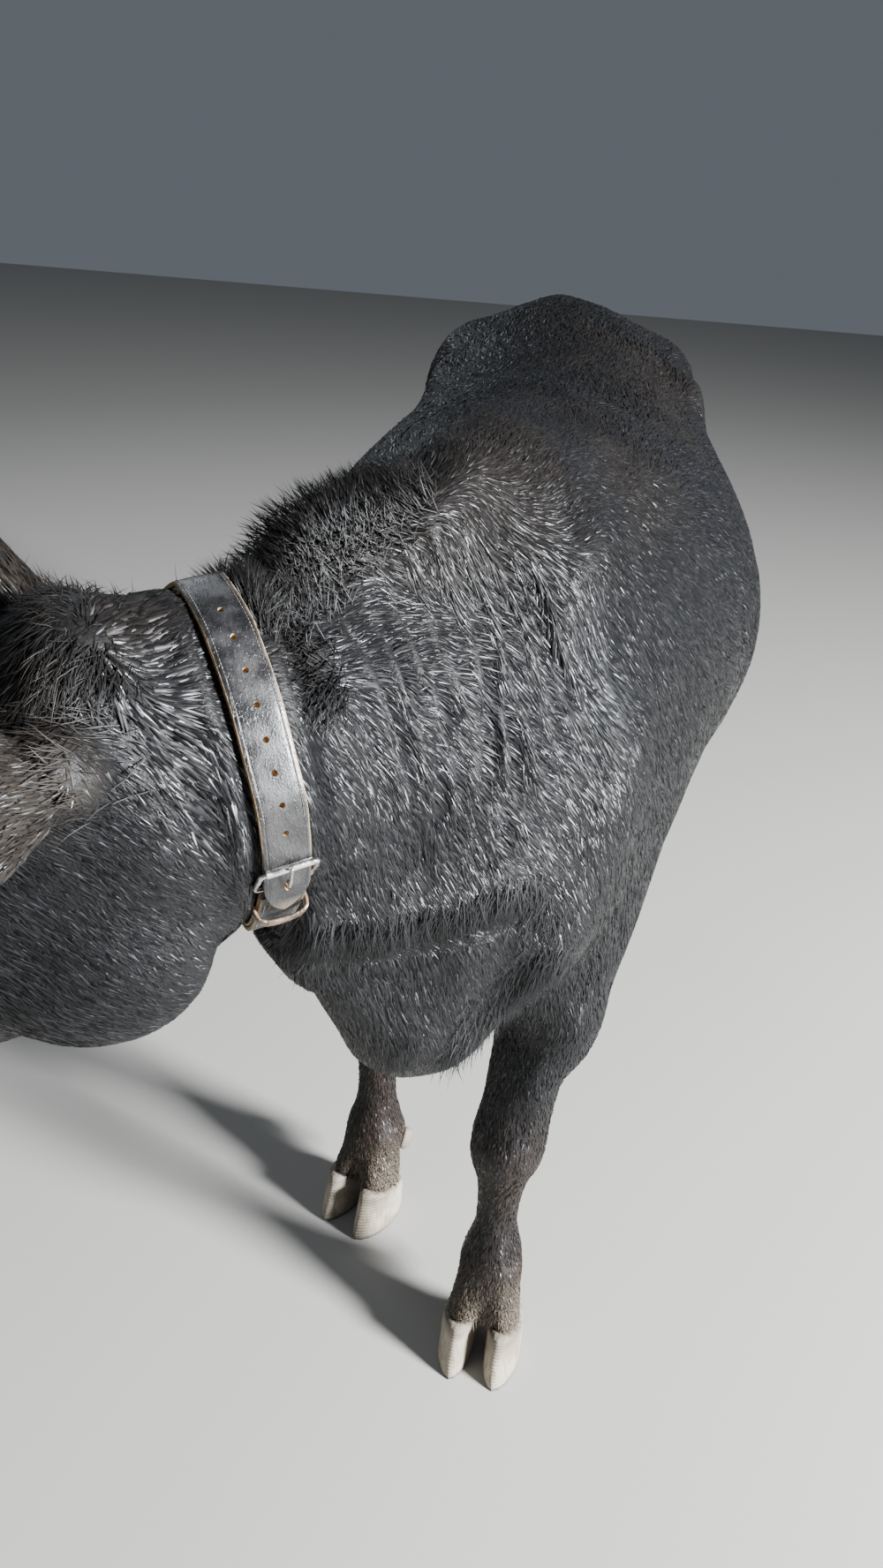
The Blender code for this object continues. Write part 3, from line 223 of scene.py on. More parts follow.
flesh_bm = bmesh.new()
for node in FLESH:
    one = bmesh.new()
    one.from_mesh(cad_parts[node].data)
    bmesh.ops.remove_doubles(one, verts=one.verts, dist=SAME_PLACE)
    one.normal_update()
    for vert in one.verts:
        vert.co += vert.normal * CUT_FILL
    part_mesh = bpy.data.meshes.new("part")
    one.to_mesh(part_mesh)
    one.free()
    flesh_bm.from_mesh(part_mesh)
hide = piece("hide", flesh_bm)
fuse = hide.modifiers.new("fuse", "REMESH")
fuse.mode = "VOXEL"
fuse.voxel_size = HIDE_GRAIN
applied(hide)

# The trunk is smoothed most. The legs, head, ears and tail keep more of their form.
places = points_of(hide.data)
soft = np.clip((places[:, 2] - 0.38) / 0.30, 0.10, 1)
soft *= 1 - 0.86 * head_share(places)
soft *= 1 - 0.97 * ear_share(places)
soft *= np.where(places[:, 1] > TAIL_FROM, 0.25, 1)
weigh(hide, "soft", soft)
settle = hide.modifiers.new("settle", "SMOOTH")
settle.factor = 0.5
settle.iterations = int(220 * (FULL_GRAIN / HIDE_GRAIN) ** 2)
settle.vertex_group = "soft"
even = hide.modifiers.new("even", "SMOOTH")
even.factor = 0.5
even.iterations = 3
applied(hide)
hide.vertex_groups.clear()


# Folds of the skin: soft upright wrinkles on the neck and shoulder, the deep crease over the brisket, the
# mouth, and fine folds round the eyes, all pressed into the hide along lines that are laid on it.
def laid(tree, line, steps=5):
    """A line through a few points, laid on the skin."""
    found = []
    corners = [Vector(point) for point in line]
    for a, b in zip(corners, corners[1:]):
        found += [a.lerp(b, k / steps) for k in range(steps)]
    found.append(corners[-1])
    return np.array([tree.find_nearest(point)[0] for point in found])


def gap_to(places, line):
    """How far each place is from a line of points, and beside which share of the line it lies."""
    best, share = np.full(len(places), 9.0), np.zeros(len(places))
    count = len(line) - 1
    for k in range(count):
        way = line[k + 1] - line[k]
        t = np.clip(((places - line[k]) @ way) / max(way @ way, 1e-12), 0, 1)
        away = np.linalg.norm(places - line[k] - t[:, None] * way, axis=1)
        closer = away < best
        best[closer], share[closer] = away[closer], (k + t[closer]) / count
    return best, share


def pressed(places, line, deep, wide, lip=0.35):
    """How far each place moves out of the skin where a fold runs along a line."""
    move = np.zeros(len(places))
    spare = 4 * wide
    near = np.flatnonzero(((places > line.min(0) - spare) & (places < line.max(0) + spare)).all(1))
    gap, share = gap_to(places[near], line)
    ends = np.sin(np.pi * np.clip(share, 0, 1)) ** 0.6
    profile = -np.exp(-((gap / wide) ** 2)) + lip * np.exp(-(((gap - 2.0 * wide) / wide) ** 2))
    move[near] = deep * ends * profile
    return move


def swelling(places, centre, size, high):
    away = np.linalg.norm((places - np.array(centre)) / np.array(size), axis=1)
    return high * np.exp(-(away**2) * 1.6)


def rolling(places, size, seed):
    """A smooth rolling value, mostly between -1 and 1, that changes over about the size given."""
    draw = np.random.default_rng(seed)
    found = np.zeros(len(places))
    for _ in range(5):
        way = draw.normal(size=3)
        way *= draw.uniform(0.6, 1.4) / np.linalg.norm(way) * 2 * math.pi / size
        found += np.sin(places @ way + draw.uniform(0, 6.28))
    return found / 3


FOLD_DEPTH = 1.25  # the hair fills part of each fold, so the skin is pressed in deeper than it shows
FOLD_WIDTH = 0.72
FOLDS = (  # each with its line, its depth and its width
    (((0.060, -0.561, 1.087), (0.092, -0.594, 1.034), (0.113, -0.603, 0.977), (0.121, -0.603, 0.945)),
     0.0030, 0.0085),
    (((0.085, -0.545, 1.076), (0.109, -0.585, 1.016), (0.118, -0.603, 0.961)), 0.0024, 0.0075),
    (((0.148, -0.479, 1.078), (0.162, -0.508, 1.025), (0.172, -0.535, 0.953), (0.168, -0.555, 0.892)),
     0.0046, 0.0090),
    (((0.151, -0.433, 1.121), (0.183, -0.453, 1.066), (0.223, -0.459, 0.988)), 0.0036, 0.0085),
    (((0.161, -0.416, 1.126), (0.195, -0.447, 1.057), (0.236, -0.450, 0.977)), 0.0030, 0.0080),
    (((0.177, -0.429, 1.099), (0.209, -0.448, 1.034), (0.230, -0.449, 0.993)), 0.0040, 0.0070),
    (((0.142, -0.562, 0.987), (0.156, -0.566, 0.914), (0.153, -0.569, 0.870)), 0.0036, 0.0085),
    (((0.120, -0.525, 1.060), (0.135, -0.565, 0.990), (0.138, -0.585, 0.900)), 0.0028, 0.0090),
    (((0.185, -0.500, 1.000), (0.200, -0.520, 0.930), (0.195, -0.540, 0.850)), 0.0036, 0.0095),
    (((0.025, -0.640, 0.810), (0.060, -0.620, 0.792), (0.100, -0.600, 0.782), (0.150, -0.570, 0.786),
      (0.215, -0.525, 0.800)), 0.0088, 0.0150),
)
FACE_FOLDS = (  # over and under the eye, and at the nostril, in the head's own frame
    (((0.132, 0.100, -0.062), (0.165, 0.100, -0.050), (0.200, 0.090, -0.070)), 0.0026, 0.0042),
    (((0.140, 0.100, -0.112), (0.170, 0.100, -0.118), (0.205, 0.090, -0.108)), 0.0024, 0.0042),
    (((0.150, 0.100, -0.122), (0.185, 0.100, -0.128), (0.225, 0.080, -0.118)), 0.0018, 0.0042),
    (((0.470, 0.020, -0.185), (0.455, 0.055, -0.172), (0.430, 0.070, -0.180)), 0.0020, 0.0040),
)
SWELLINGS = (  # round the brisket's crease, each with its middle, its size and how far it stands out
    ((0.045, -0.640, 0.835), (0.045, 0.045, 0.026), 0.0085),
    ((0.095, -0.610, 0.822), (0.045, 0.045, 0.026), 0.0085),
    ((0.150, -0.580, 0.826), (0.045, 0.045, 0.026), 0.0085),
    ((0.200, -0.540, 0.838), (0.045, 0.045, 0.026), 0.0085),
    ((0.047, -0.655, 0.905), (0.040, 0.040, 0.028), 0.0075),
    ((0.120, -0.600, 0.880), (0.030, 0.050, 0.045), -0.0060),
    ((0.235, -0.520, 0.735), (0.050, 0.040, 0.030), 0.0060),
)
WAVE_LONG, WAVE_DEEP = 0.029, 0.0016

skin_bm = bmesh.new()
skin_bm.from_mesh(hide.data)
skin_tree = BVHTree.FromBMesh(skin_bm)
skin_bm.free()
places = points_of(hide.data)
normals = normals_of(hide.data)
move = np.zeros(len(places))
CREASES = [laid(skin_tree, line) for line, _, _ in FOLDS]
for path, (_, deep, wide) in zip(CREASES, FOLDS):
    move += pressed(places, path, FOLD_DEPTH * deep, FOLD_WIDTH * wide)

# Fine waves on the left side of the neck, folds down its right side, and hollows between the ribs.
waves = np.array((0.60, 0.78, 0.14)) * 2 * math.pi / WAVE_LONG
spread = np.linalg.norm((places - np.array((0.13, -0.53, 1.00))) / np.array((0.14, 0.13, 0.16)), axis=1)
warp = 1.6 * rolling(places, 0.17, 5)
move += WAVE_DEEP * np.sin(places @ waves + warp) * (1 - step(spread, 0.7, 1.15)) * (places[:, 0] > 0)
for k in range(6):
    back = -0.66 + 0.052 * k
    line = [(-0.30, back + 0.05, 1.06), (-0.30, back, 0.96), (-0.28, back + 0.01, 0.86)]
    move += pressed(places, laid(skin_tree, line), 0.0045, 0.0085)
for k in range(5):
    back = -0.10 + 0.075 * k
    line = [(0.50, back, 1.00), (0.52, back - 0.02, 0.90), (0.50, back - 0.03, 0.80)]
    move += pressed(places, laid(skin_tree, line), 0.0022, 0.0160)
for middle, size, high in SWELLINGS:
    move += swelling(places, middle, size, high)

# The mouth, whose line is found by rays towards the muzzle, and the folds of the face.
MOUTH_LINE = -0.246
MOUTH_TURN, MOUTH_STEPS = 208, 40
turn = HEAD.to_3x3()
lips = []
for k in range(MOUTH_STEPS + 1):
    angle = math.radians(-MOUTH_TURN / 2 + MOUTH_TURN * k / MOUTH_STEPS)
    core = HEAD @ Vector((0.345, 0, MOUTH_LINE + 0.010 * abs(math.sin(angle)) ** 3))
    out = turn @ Vector((math.cos(angle), math.sin(angle), -0.04))
    hit = skin_tree.ray_cast(core + out * 0.2, -out)
    if hit[0] is not None:
        lips.append(hit[0])
move += pressed(places, np.array(lips), 0.0065, 0.0042, 0.30)
for side in (1, -1):
    for line, deep, wide in FACE_FOLDS:
        line = [HEAD @ Vector((x, side * y, z)) for x, y, z in line]
        move += pressed(places, laid(skin_tree, line), deep, wide)
line = [HEAD @ Vector((0.50, 0, -0.180)), HEAD @ Vector((0.50, 0, -0.240))]
move += pressed(places, laid(skin_tree, line), 0.0030, 0.0035)
places += normals * move[:, None]

# The hide lies below the coat by the coat's own depth, less where the hair is short, and not at all
# under the strap, beside which the flesh swells a little.
depth = 0.0050 * step(places[:, 2], 0.40, 0.55) + 0.0022
depth *= 1 - 0.65 * head_share(places)
depth *= 1 - 0.9 * ear_share(places)
EYE_RADIUS = 0.0208
EYES = [HEAD @ Vector((0.168, side * 0.084, -0.082)) for side in (1, -1)]
for centre in EYES:
    depth *= step(np.linalg.norm(places - np.array(centre), axis=1), 0.032, 0.060)
STRAP_MIDDLE = np.array((-0.035, -0.638, 0.975))
STRAP_FACING = np.array((-0.80, -0.60, -0.13)) / math.sqrt(0.64 + 0.36 + 0.0169)
off_strap = np.abs((places - STRAP_MIDDLE) @ STRAP_FACING)
by_strap = np.linalg.norm(places - STRAP_MIDDLE, axis=1) < 0.26
depth *= 1 - (1 - step(off_strap, 0.028, 0.060)) * by_strap
depth -= 0.0045 * np.exp(-(((off_strap - 0.034) / 0.011) ** 2)) * by_strap
set_points(hide.data, places - normals * depth[:, None])

thin = hide.modifiers.new("thin", "DECIMATE")
thin.ratio = HIDE_TRIANGLES / (2 * len(hide.data.polygons))
applied(hide)
hide.data.polygons.foreach_set("use_smooth", np.ones(len(hide.data.polygons), bool))


# Colour of the hair, alike on hide and coat: black, browned by the sun on the back, the lower legs and
# the ears, and dusty above the hooves. The hide's own skin is bare and pebbled on the nose and lips.
HAIR_BLACK = (0.0024, 0.0026, 0.0034)
SUN_BROWN = (0.008, 0.0057, 0.0041)
LEG_BROWN = (0.026, 0.0145, 0.0090)
EAR_BROWN = (0.019, 0.0145, 0.0110)
DUST_TINT = (0.17, 0.135, 0.095)
UNDER_BLACK = (0.002, 0.002, 0.0025)
BARE_TINT = (0.020, 0.017, 0.017)
STREAK_FINE, STREAK_LONG = 520, 14
PEBBLES = 330


def object_places(tree):
    return tree.nodes.new("ShaderNodeTexCoord").outputs["Object"]


def split(tree, vector):
    """The X, Y and Z of a vector."""
    made = tree.nodes.new("ShaderNodeSeparateXYZ")
    tree.links.new(vector, made.inputs[0])
    return made.outputs["X"], made.outputs["Y"], made.outputs["Z"]


def kept(tree, name, out="Fac"):
    """A value that painted() gave to each point of the mesh."""
    made = tree.nodes.new("ShaderNodeAttribute")
    made.attribute_name = name
    return made.outputs[out]


def noise_on(tree, vector, scale, detail=4.0):
    made = tree.nodes.new("ShaderNodeTexNoise")
    made.inputs["Scale"].default_value = scale
    made.inputs["Detail"].default_value = detail
    tree.links.new(vector, made.inputs["Vector"])
    return made.outputs["Fac"]


def cells_on(tree, vector, scale):
    """Distance from the middle of the nearest of many small cells."""
    made = tree.nodes.new("ShaderNodeTexVoronoi")
    made.inputs["Scale"].default_value = scale
    tree.links.new(vector, made.inputs["Vector"])
    return made.outputs["Distance"]


def ranged(tree, value, low, high, out_low=0.0, out_high=1.0):
    """A smooth change from out_low, where the value is low, to out_high, where it is high."""
    made = tree.nodes.new("ShaderNodeMapRange")
    made.interpolation_type = "SMOOTHSTEP"
    made.inputs["From Min"].default_value = low
    made.inputs["From Max"].default_value = high
    made.inputs["To Min"].default_value = out_low
    made.inputs["To Max"].default_value = out_high
    tree.links.new(value, made.inputs["Value"])
    return made.outputs["Result"]


def combine(tree, operation, first, second):
    made = tree.nodes.new("ShaderNodeMath")
    made.operation = operation
    for slot, value in zip(made.inputs, (first, second)):
        if isinstance(value, (int, float)):
            slot.default_value = value
        else:
            tree.links.new(value, slot)
    return made.outputs[0]


def both(tree, first, second):
    return combine(tree, "MULTIPLY", first, second)


def blended(tree, share, first, second):
    """A mix of two colours, each a plain one or an output of a node."""
    made = tree.nodes.new("ShaderNodeMix")
    made.data_type = "RGBA"
    tree.links.new(share, made.inputs[0])
    for slot, value in ((made.inputs[6], first), (made.inputs[7], second)):
        if isinstance(value, tuple):
            slot.default_value = (*value, 1)
        else:
            tree.links.new(value, slot)
    return made.outputs[2]


def coated(tree, shader, colour, rough):
    tree.links.new(colour, shader.inputs["Base Color"])
    tree.links.new(rough, shader.inputs["Roughness"])


def relieved(tree, shader, height, strength, deep):
    """Raises and lowers the surface by a height."""
    made = tree.nodes.new("ShaderNodeBump")
    made.inputs["Strength"].default_value = strength
    made.inputs["Distance"].default_value = deep
    tree.links.new(height, made.inputs["Height"])
    tree.links.new(made.outputs["Normal"], shader.inputs["Normal"])


tint = bpy.data.node_groups.new("hair_tint", "ShaderNodeTree")
tint.interface.new_socket(name="Color", in_out="OUTPUT", socket_type="NodeSocketColor")
tint.interface.new_socket(name="Dust", in_out="OUTPUT", socket_type="NodeSocketFloat")
tint_out = tint.nodes.new("NodeGroupOutput")
where = object_places(tint)
level = split(tint, where)[2]
patches = noise_on(tint, where, 5.5, 3)
back_sun = both(tint, ranged(tint, level, 1.00, 1.16), ranged(tint, patches, 0.40, 0.62, 0.2, 1.0))
low_leg = both(tint, ranged(tint, level, 0.48, 0.26), ranged(tint, patches, 0.38, 0.66, 0.35, 1.0))
dust = both(tint, ranged(tint, level, 0.17, 0.06), ranged(tint, patches, 0.35, 0.6, 0.4, 1.0))
ear_tint = 0.0
for side in (1, -1):
    gap = tint.nodes.new("ShaderNodeVectorMath")
    gap.operation = "DISTANCE"
    gap.inputs[1].default_value = HEAD @ Vector((0.075, side * 0.160, 0.030))
    tint.links.new(where, gap.inputs[0])
    ear_tint = combine(tint, "ADD", ear_tint, ranged(tint, gap.outputs["Value"], 0.160, 0.100))
colour = blended(tint, both(tint, back_sun, 0.75), HAIR_BLACK, SUN_BROWN)
colour = blended(tint, both(tint, low_leg, 0.8), colour, LEG_BROWN)
colour = blended(tint, both(tint, ear_tint, 0.75), colour, EAR_BROWN)
colour = blended(tint, both(tint, dust, 0.55), colour, DUST_TINT)
tint.links.new(colour, tint_out.inputs["Color"])
tint.links.new(dust, tint_out.inputs["Dust"])


def hair_tint_in(tree):
    """The outputs of the hair's tint, placed in a material."""
    made = tree.nodes.new("ShaderNodeGroup")
    made.node_tree = tint
    return made.outputs


def streaks(tree, turn):
    """Fine streaks of lying hair: a noise drawn out along one way."""
    drawn = tree.nodes.new("ShaderNodeMapping")
    drawn.vector_type = "TEXTURE"
    drawn.inputs["Rotation"].default_value = turn
    drawn.inputs["Scale"].default_value = (1, 1, STREAK_LONG)
    tree.links.new(object_places(tree), drawn.inputs["Vector"])
    return noise_on(tree, drawn.outputs[0], STREAK_FINE, 2)


hide_coat, tree, shader = new_finish("hide_coat")
shader.inputs["Specular IOR Level"].default_value = 0.25
tinted = hair_tint_in(tree)
bare = kept(tree, "bare")
lying = blended(tree, kept(tree, "top"), streaks(tree, (0.75, 0, 0)), streaks(tree, (math.pi / 2, 0, 0)))
colour = blended(tree, ranged(tree, lying, 0.40, 0.62), UNDER_BLACK, tinted["Color"])
colour = blended(tree, bare, colour, BARE_TINT)
rough = ranged(tree, tinted["Dust"], 0, 1, 0.55, 0.80)
coated(tree, shader, colour, combine(tree, "SUBTRACT", rough, both(tree, bare, 0.20)))
pebbled = both(tree, ranged(tree, cells_on(tree, object_places(tree), PEBBLES), 0.75, 0.15), bare)
haired = both(tree, lying, combine(tree, "SUBTRACT", 1.0, bare))
relieved(tree, shader, combine(tree, "ADD", haired, pebbled), 0.85, 0.0011)


def bare_share(places):
    """1 on the bare skin of the nose and lips and round the eyes, 0 where hair grows."""
    own = in_head(places)
    x, z = own[:, 0], own[:, 2]
    nose = step(x, 0.405, 0.425) * step(z, -0.262, -0.246) * (1 - step(z, -0.168, -0.150))
    lips = step(x, 0.34, 0.37) * (1 - step(np.abs(z + 0.247), 0.006, 0.014))
    found = np.maximum(nose, lips) * head_share(places)
    for centre in EYES:
        away = np.linalg.norm(places - np.array(centre), axis=1)
        found = np.maximum(found, 1 - step(away, EYE_RADIUS + 0.002, EYE_RADIUS + 0.006))
    return found


def painted(mesh, name, values):
    """Keeps a value, or three, for each point of a mesh, for its material to read."""
    kind, field = ("FLOAT_VECTOR", "vector") if values.ndim == 2 else ("FLOAT", "value")
    held = mesh.attributes.new(name, kind, "POINT")
    held.data.foreach_set(field, values.astype(np.float32).ravel())


painted(hide.data, "bare", bare_share(points_of(hide.data)))
painted(hide.data, "top", step(normals_of(hide.data)[:, 2], 0.5, 0.9))
hide.data.materials.append(hide_coat)
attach(hide, "root")
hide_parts(*FLESH)


# Coat: short sleek hair over the whole hide, made as slim flat tufts that lie along the body and lap over
# one another. Each tuft is a closed kite, sunk at its root and just lifted at its tip.
SKIN = hide.data
SKIN.calc_loop_triangles()
skin_points = points_of(SKIN)
skin_normals = normals_of(SKIN)
triangles = np.empty(len(SKIN.loop_triangles) * 3, np.int32)
SKIN.loop_triangles.foreach_get("vertices", triangles)
triangles = triangles.reshape(-1, 3)
corners = skin_points[triangles]
squares = np.cross(corners[:, 1] - corners[:, 0], corners[:, 2] - corners[:, 0])
triangle_areas = np.linalg.norm(squares, axis=1) / 2
middles = corners.mean(1)
HIDE_TREE = BVHTree.FromPolygons(skin_points.tolist(), triangles.tolist())

TURN_BACK = np.array(HEAD.to_3x3().normalized())
FLANK_WAY = np.array((0, 0.74, -0.67))
FRONT_WAY = np.array((0, 0.42, -0.91))
REAR_WAY = np.array((0, 0.30, -0.95))
BACK_WAY = np.array((0, 1.0, 0))
NECK_SIDE_WAY = np.array((0.17, 0.44, -0.84))
CREST_WAY = np.array((0.46, 0.88, 0.10))
LEG_WAY = np.array((0, 0.10, -1.0))
TAIL_WAY = np.array((0, 0, -1.0))
CHEEK_WAY = np.array((-0.42, 0, -0.90))
SNOUT_WAY = np.array((-0.75, 0, -0.45))


def unit(vectors):
    return vectors / np.maximum(np.linalg.norm(vectors, axis=1), 1e-9)[:, None]


def mixed(first, second, share):
    return first * (1 - share) + second * share


def lie(places, normals, seed):
    """Which way the hair lies: back and down on the body, down the legs, off the face to the throat."""
    y, z = places[:, 1], places[:, 2]
    over = step(normals[:, 2], 0.55, 0.95)[:, None]
    under = step(-normals[:, 2], 0.35, 0.8)[:, None]
    front = (1 - step(y, -0.45, 0.05))[:, None]
    rear = step(y, 0.55, 0.85)[:, None]
    flow = FLANK_WAY * (1 - front) * (1 - rear) + FRONT_WAY * front + REAR_WAY * rear
    flow = mixed(mixed(flow, BACK_WAY, over), BACK_WAY, under)
    neck = ((1 - step(y, -0.58, -0.36)) * step(z, 0.55, 0.70))[:, None]
    crest = step(normals[:, 2], 0.35, 0.85)[:, None]
    flow = mixed(flow, mixed(NECK_SIDE_WAY, CREST_WAY, crest), neck)
    flow = mixed(flow, LEG_WAY, (1 - step(z, 0.46, 0.66))[:, None] * (1 - under))
    own = in_head(places)
    cheek = step(np.abs(own[:, 1]), 0.035, 0.075)[:, None]
    snout = step(own[:, 0], 0.16, 0.30)[:, None]
    on_top = np.stack([np.full(len(places), 1.0), own[:, 1] * 6, np.zeros(len(places))], 1)
    face = mixed(on_top, mixed(CHEEK_WAY, SNOUT_WAY, snout), cheek) @ TURN_BACK.T
    flow = mixed(flow, face, head_share(places)[:, None])
    ears = ear_share(places)
    for side in (1, -1):
        flow = mixed(flow, ear_way(side), (ears * (np.sign(own[:, 1]) == side))[:, None])
    flow = mixed(flow, TAIL_WAY, ((y > TAIL_FROM) * (z < 1.12))[:, None])
    flow = unit(flow - normals * (flow * normals).sum(1)[:, None])
    across = np.cross(normals, flow)
    draw = np.random.default_rng(seed)
    swing = 0.16 * rolling(places, 0.22, 3) + 0.12 * rolling(places, 0.05, 4)
    swing = (swing + draw.normal(0, 0.10, len(places))) * (1 - 0.5 * ears)
    return unit(flow * np.cos(swing)[:, None] + across * np.sin(swing)[:, None])


def unwrapped(places):
    """A place's spot on a flat chart of the skin, where each part of the body has a tile of its own."""
    own = in_head(places)
    x, y, z = places.T
    heads, ears = head_share(places) > 0.5, ear_share(places) > 0.5
    turn_body = np.arctan2(z - 0.85, x) / (2 * math.pi) % 1
    chart = np.stack([turn_body, np.clip((y + 0.75) / 1.75, 0, 1)], 1) * (0.98, 0.48) + (0.01, 0.01)
    turn_head = np.arctan2(own[:, 2] + 0.16, own[:, 1]) / (2 * math.pi) % 1
    tile = np.stack([turn_head, np.clip((own[:, 0] + 0.1) / 0.6, 0, 1)], 1) * (0.48, 0.28) + (0.01, 0.71)
    chart[heads] = tile[heads]
    side = (own[:, 1] > 0) * 0.24
    tile = np.stack([np.clip((own[:, 0] + 0.05) / 0.3, 0, 1), np.clip((own[:, 2] + 0.1) / 0.3, 0, 1)], 1)
    tile = tile * (0.20, 0.28) + np.stack([0.51 + side, np.full(len(x), 0.71)], 1)
    chart[ears] = tile[ears]
    legs = (z < 0.55) & ~heads
    for k, (sx, sy) in enumerate(((1, -1), (-1, -1), (1, 1), (-1, 1))):
        mine = legs & (np.sign(x - 0.05) == sx) & (np.sign(y - 0.2) == sy)
        if mine.any():
            turn_leg = np.arctan2(y - np.median(y[mine]), x - np.median(x[mine])) / (2 * math.pi) % 1
            tile = np.stack([turn_leg, z / 0.55], 1) * (0.22, 0.19) + (0.01 + 0.245 * k, 0.505)
            chart[mine] = tile[mine]
    return chart


def roots(count, weight, seed):
    """Places and normals of roots spread over the hide by weight."""
    share = np.cumsum(triangle_areas * weight(middles))
    draw = np.random.default_rng(seed)
    picks = (np.arange(count) + draw.uniform(0, 1, count)) / count * share[-1]
    face = np.minimum(np.searchsorted(share, picks), len(triangles) - 1)
    a, b = draw.uniform(0, 1, (2, count))
    flip = a + b > 1
    a[flip], b[flip] = 1 - a[flip], 1 - b[flip]
    parts = np.stack([1 - a - b, a, b], 1)[:, :, None]
    spots = (skin_points[triangles[face]] * parts).sum(1)
    return spots, unit((skin_normals[triangles[face]] * parts).sum(1))


def joined_tufts(name, spots, faces, roots_at, patch, finish, tips, shades, facing):
    """One mesh from many alike tufts, with its charts for baking and its own tip and shade values."""
    count, each = spots.shape[:2]
    mesh = bpy.data.meshes.new(name)
    mesh.vertices.add(count * each)
    mesh.vertices.foreach_set("co", spots.astype(np.float32).ravel())
    index = (np.array(faces)[None] + (np.arange(count) * each)[:, None, None]).reshape(-1, 3)
    mesh.loops.add(index.size)
    mesh.loops.foreach_set("vertex_index", index.astype(np.int32).ravel())
    mesh.polygons.add(len(index))
    mesh.polygons.foreach_set("loop_start", np.arange(0, index.size, 3, dtype=np.int32))
    mesh.polygons.foreach_set("use_smooth", np.ones(len(index), bool))
    chart = mesh.uv_layers.new(name="OFBake")
    local = (np.array(patch) - 0.5) * 0.003
    charted = (unwrapped(roots_at)[:, None] + local[None]).reshape(-1, 2)[index.ravel()]
    chart.data.foreach_set("uv", charted.astype(np.float32).ravel())
    painted(mesh, "tip", np.tile(np.array(tips, np.float32), count))
    painted(mesh, "shade", np.repeat(shades, each))
    mesh.update(calc_edges=True)
    mesh.validate()
    mesh.normals_split_custom_set_from_vertices(facing.reshape(-1, 3).tolist())
    mesh.materials.append(finish)
    made = placed(name, mesh)
    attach(made, "root")
    return made


def on_hide(places):
    """The nearest places on the hide, and which way it faces there."""
    found = [HIDE_TREE.find_nearest(place) for place in places.tolist()]
    return np.array([hit[0] for hit in found]), np.array([hit[1] for hit in found])


def in_crease(places):
    """How deep in a fold of the skin each place lies, from 0 to 1."""
    found = np.zeros(len(places))
    for line in CREASES:
        found = np.maximum(found, -pressed(places, line, 1.0, 0.0042, 0.0))
    return found


def short_coat(name, roots_at, normals, long, wide, lift, seed, finish):
    """Slim closed tufts of four faces: a sunk root, two edges, and a fine tip laid on the skin."""
    draw = np.random.default_rng(seed)
    count = len(roots_at)
    flow = lie(roots_at, normals, seed)
    across = np.cross(normals, flow)
    vary = draw.uniform(0.70, 1.25, count)[:, None]
    long, wide, lift = (np.broadcast_to(v, count)[:, None] * vary for v in (long, wide, lift))
    bend = draw.normal(0, 0.10, count)[:, None] * long
    tip, tip_faces = on_hide(roots_at + flow * long + across * bend)
    root = roots_at - normals * 0.0014
    body = roots_at * 0.6 + tip * 0.4 + normals * (lift * 0.5 + wide * 0.24)
    tip += (normals + tip_faces) / 2 * lift
    roll = draw.normal(0, 0.30, count)[:, None]
    edge = (across + normals * roll) * wide / 2
    spots = np.stack([root, body + edge, body - edge, tip], 1)
    faces = ((0, 2, 1), (3, 1, 2), (0, 1, 3), (0, 3, 2))
    patch = ((0.5, 0.0), (0.0, 0.4), (1.0, 0.4), (0.5, 1.0))
    # Each tuft gets a random shade value, and the highest values get a painted sheen. A tuft deep in a fold of
    # the skin gets a negative value instead, which its material paints near black: painted shade in the fold.
    crease = in_crease(body)
    shades = draw.uniform(0, 1, count) * (1 - crease) - 0.6 * crease
    tilt = normals + flow * draw.uniform(-0.50, 0.36, count)[:, None]
    tilt = tilt + across * draw.uniform(-0.42, 0.42, count)[:, None]
    facing = np.stack([tilt, tilt + across * 0.45, tilt - across * 0.45, tilt + flow * 0.25], 1)
    facing /= np.linalg.norm(facing, axis=2)[:, :, None]
    return joined_tufts(name, spots, faces, roots_at, patch, finish, (0, 0.4, 0.4, 1), shades, facing)


# Painted sheen: tufts with a high shade value are lighter and bluish, standing in for light glinting on the
# hair.
SHEEN_TINT = (0.012, 0.013, 0.016)
# Near black of the painted shade in the folds of the skin.
CREASE_SHADE = (0.001, 0.001, 0.001)
TIP_TINT = (0.010, 0.009, 0.0085)
hair, tree, shader = new_finish("hair")
shader.inputs["Specular IOR Level"].default_value = 0.28
shade, tip = kept(tree, "shade"), kept(tree, "tip")
colour = hair_tint_in(tree)["Color"]
# painted sheen on the tufts with the highest shade values
colour = blended(tree, ranged(tree, shade, 0.55, 1.0, 0, 0.45), colour, SHEEN_TINT)
# Painted shade: tufts that lie deep in a fold of the skin are darkened to near black.
colour = blended(tree, ranged(tree, shade, 0.0, -0.5), colour, CREASE_SHADE)
colour = blended(tree, ranged(tree, tip, 0.1, 1.0, 0, 0.25), colour, TIP_TINT)
sheen = ranged(tree, shade, -0.4, 0.9, 0.70, 0.29)
coated(tree, shader, colour, combine(tree, "ADD", sheen, ranged(tree, tip, 0.45, 0.0, 0, 0.30)))

FEWER = 1.0


def trunk(lo, hi, side):
    """Weight of one stretch of the trunk or neck, on one side of the animal."""
    def weight(places):
        y, z = places[:, 1], places[:, 2]
        inside = (y >= lo) & (y < hi) & (np.sign(places[:, 0] - 0.02) == side) & (z >= 0.56)
        return inside * (head_share(places) < 0.5) * (ear_share(places) < 0.5)
    return weight


def face_weight(places):
    own = in_head(places)
    face = (head_share(places) >= 0.5) & (ear_share(places) < 0.5)
    return face * (1 - step(own[:, 0], 0.36, 0.42)) * (1 + 1.5 * step(own[:, 0], 0.05, 0.25))


def legs_weight(places):
    return (places[:, 2] < 0.56) & (head_share(places) < 0.5)


def ears_weight(places):
    return ear_share(places) >= 0.5


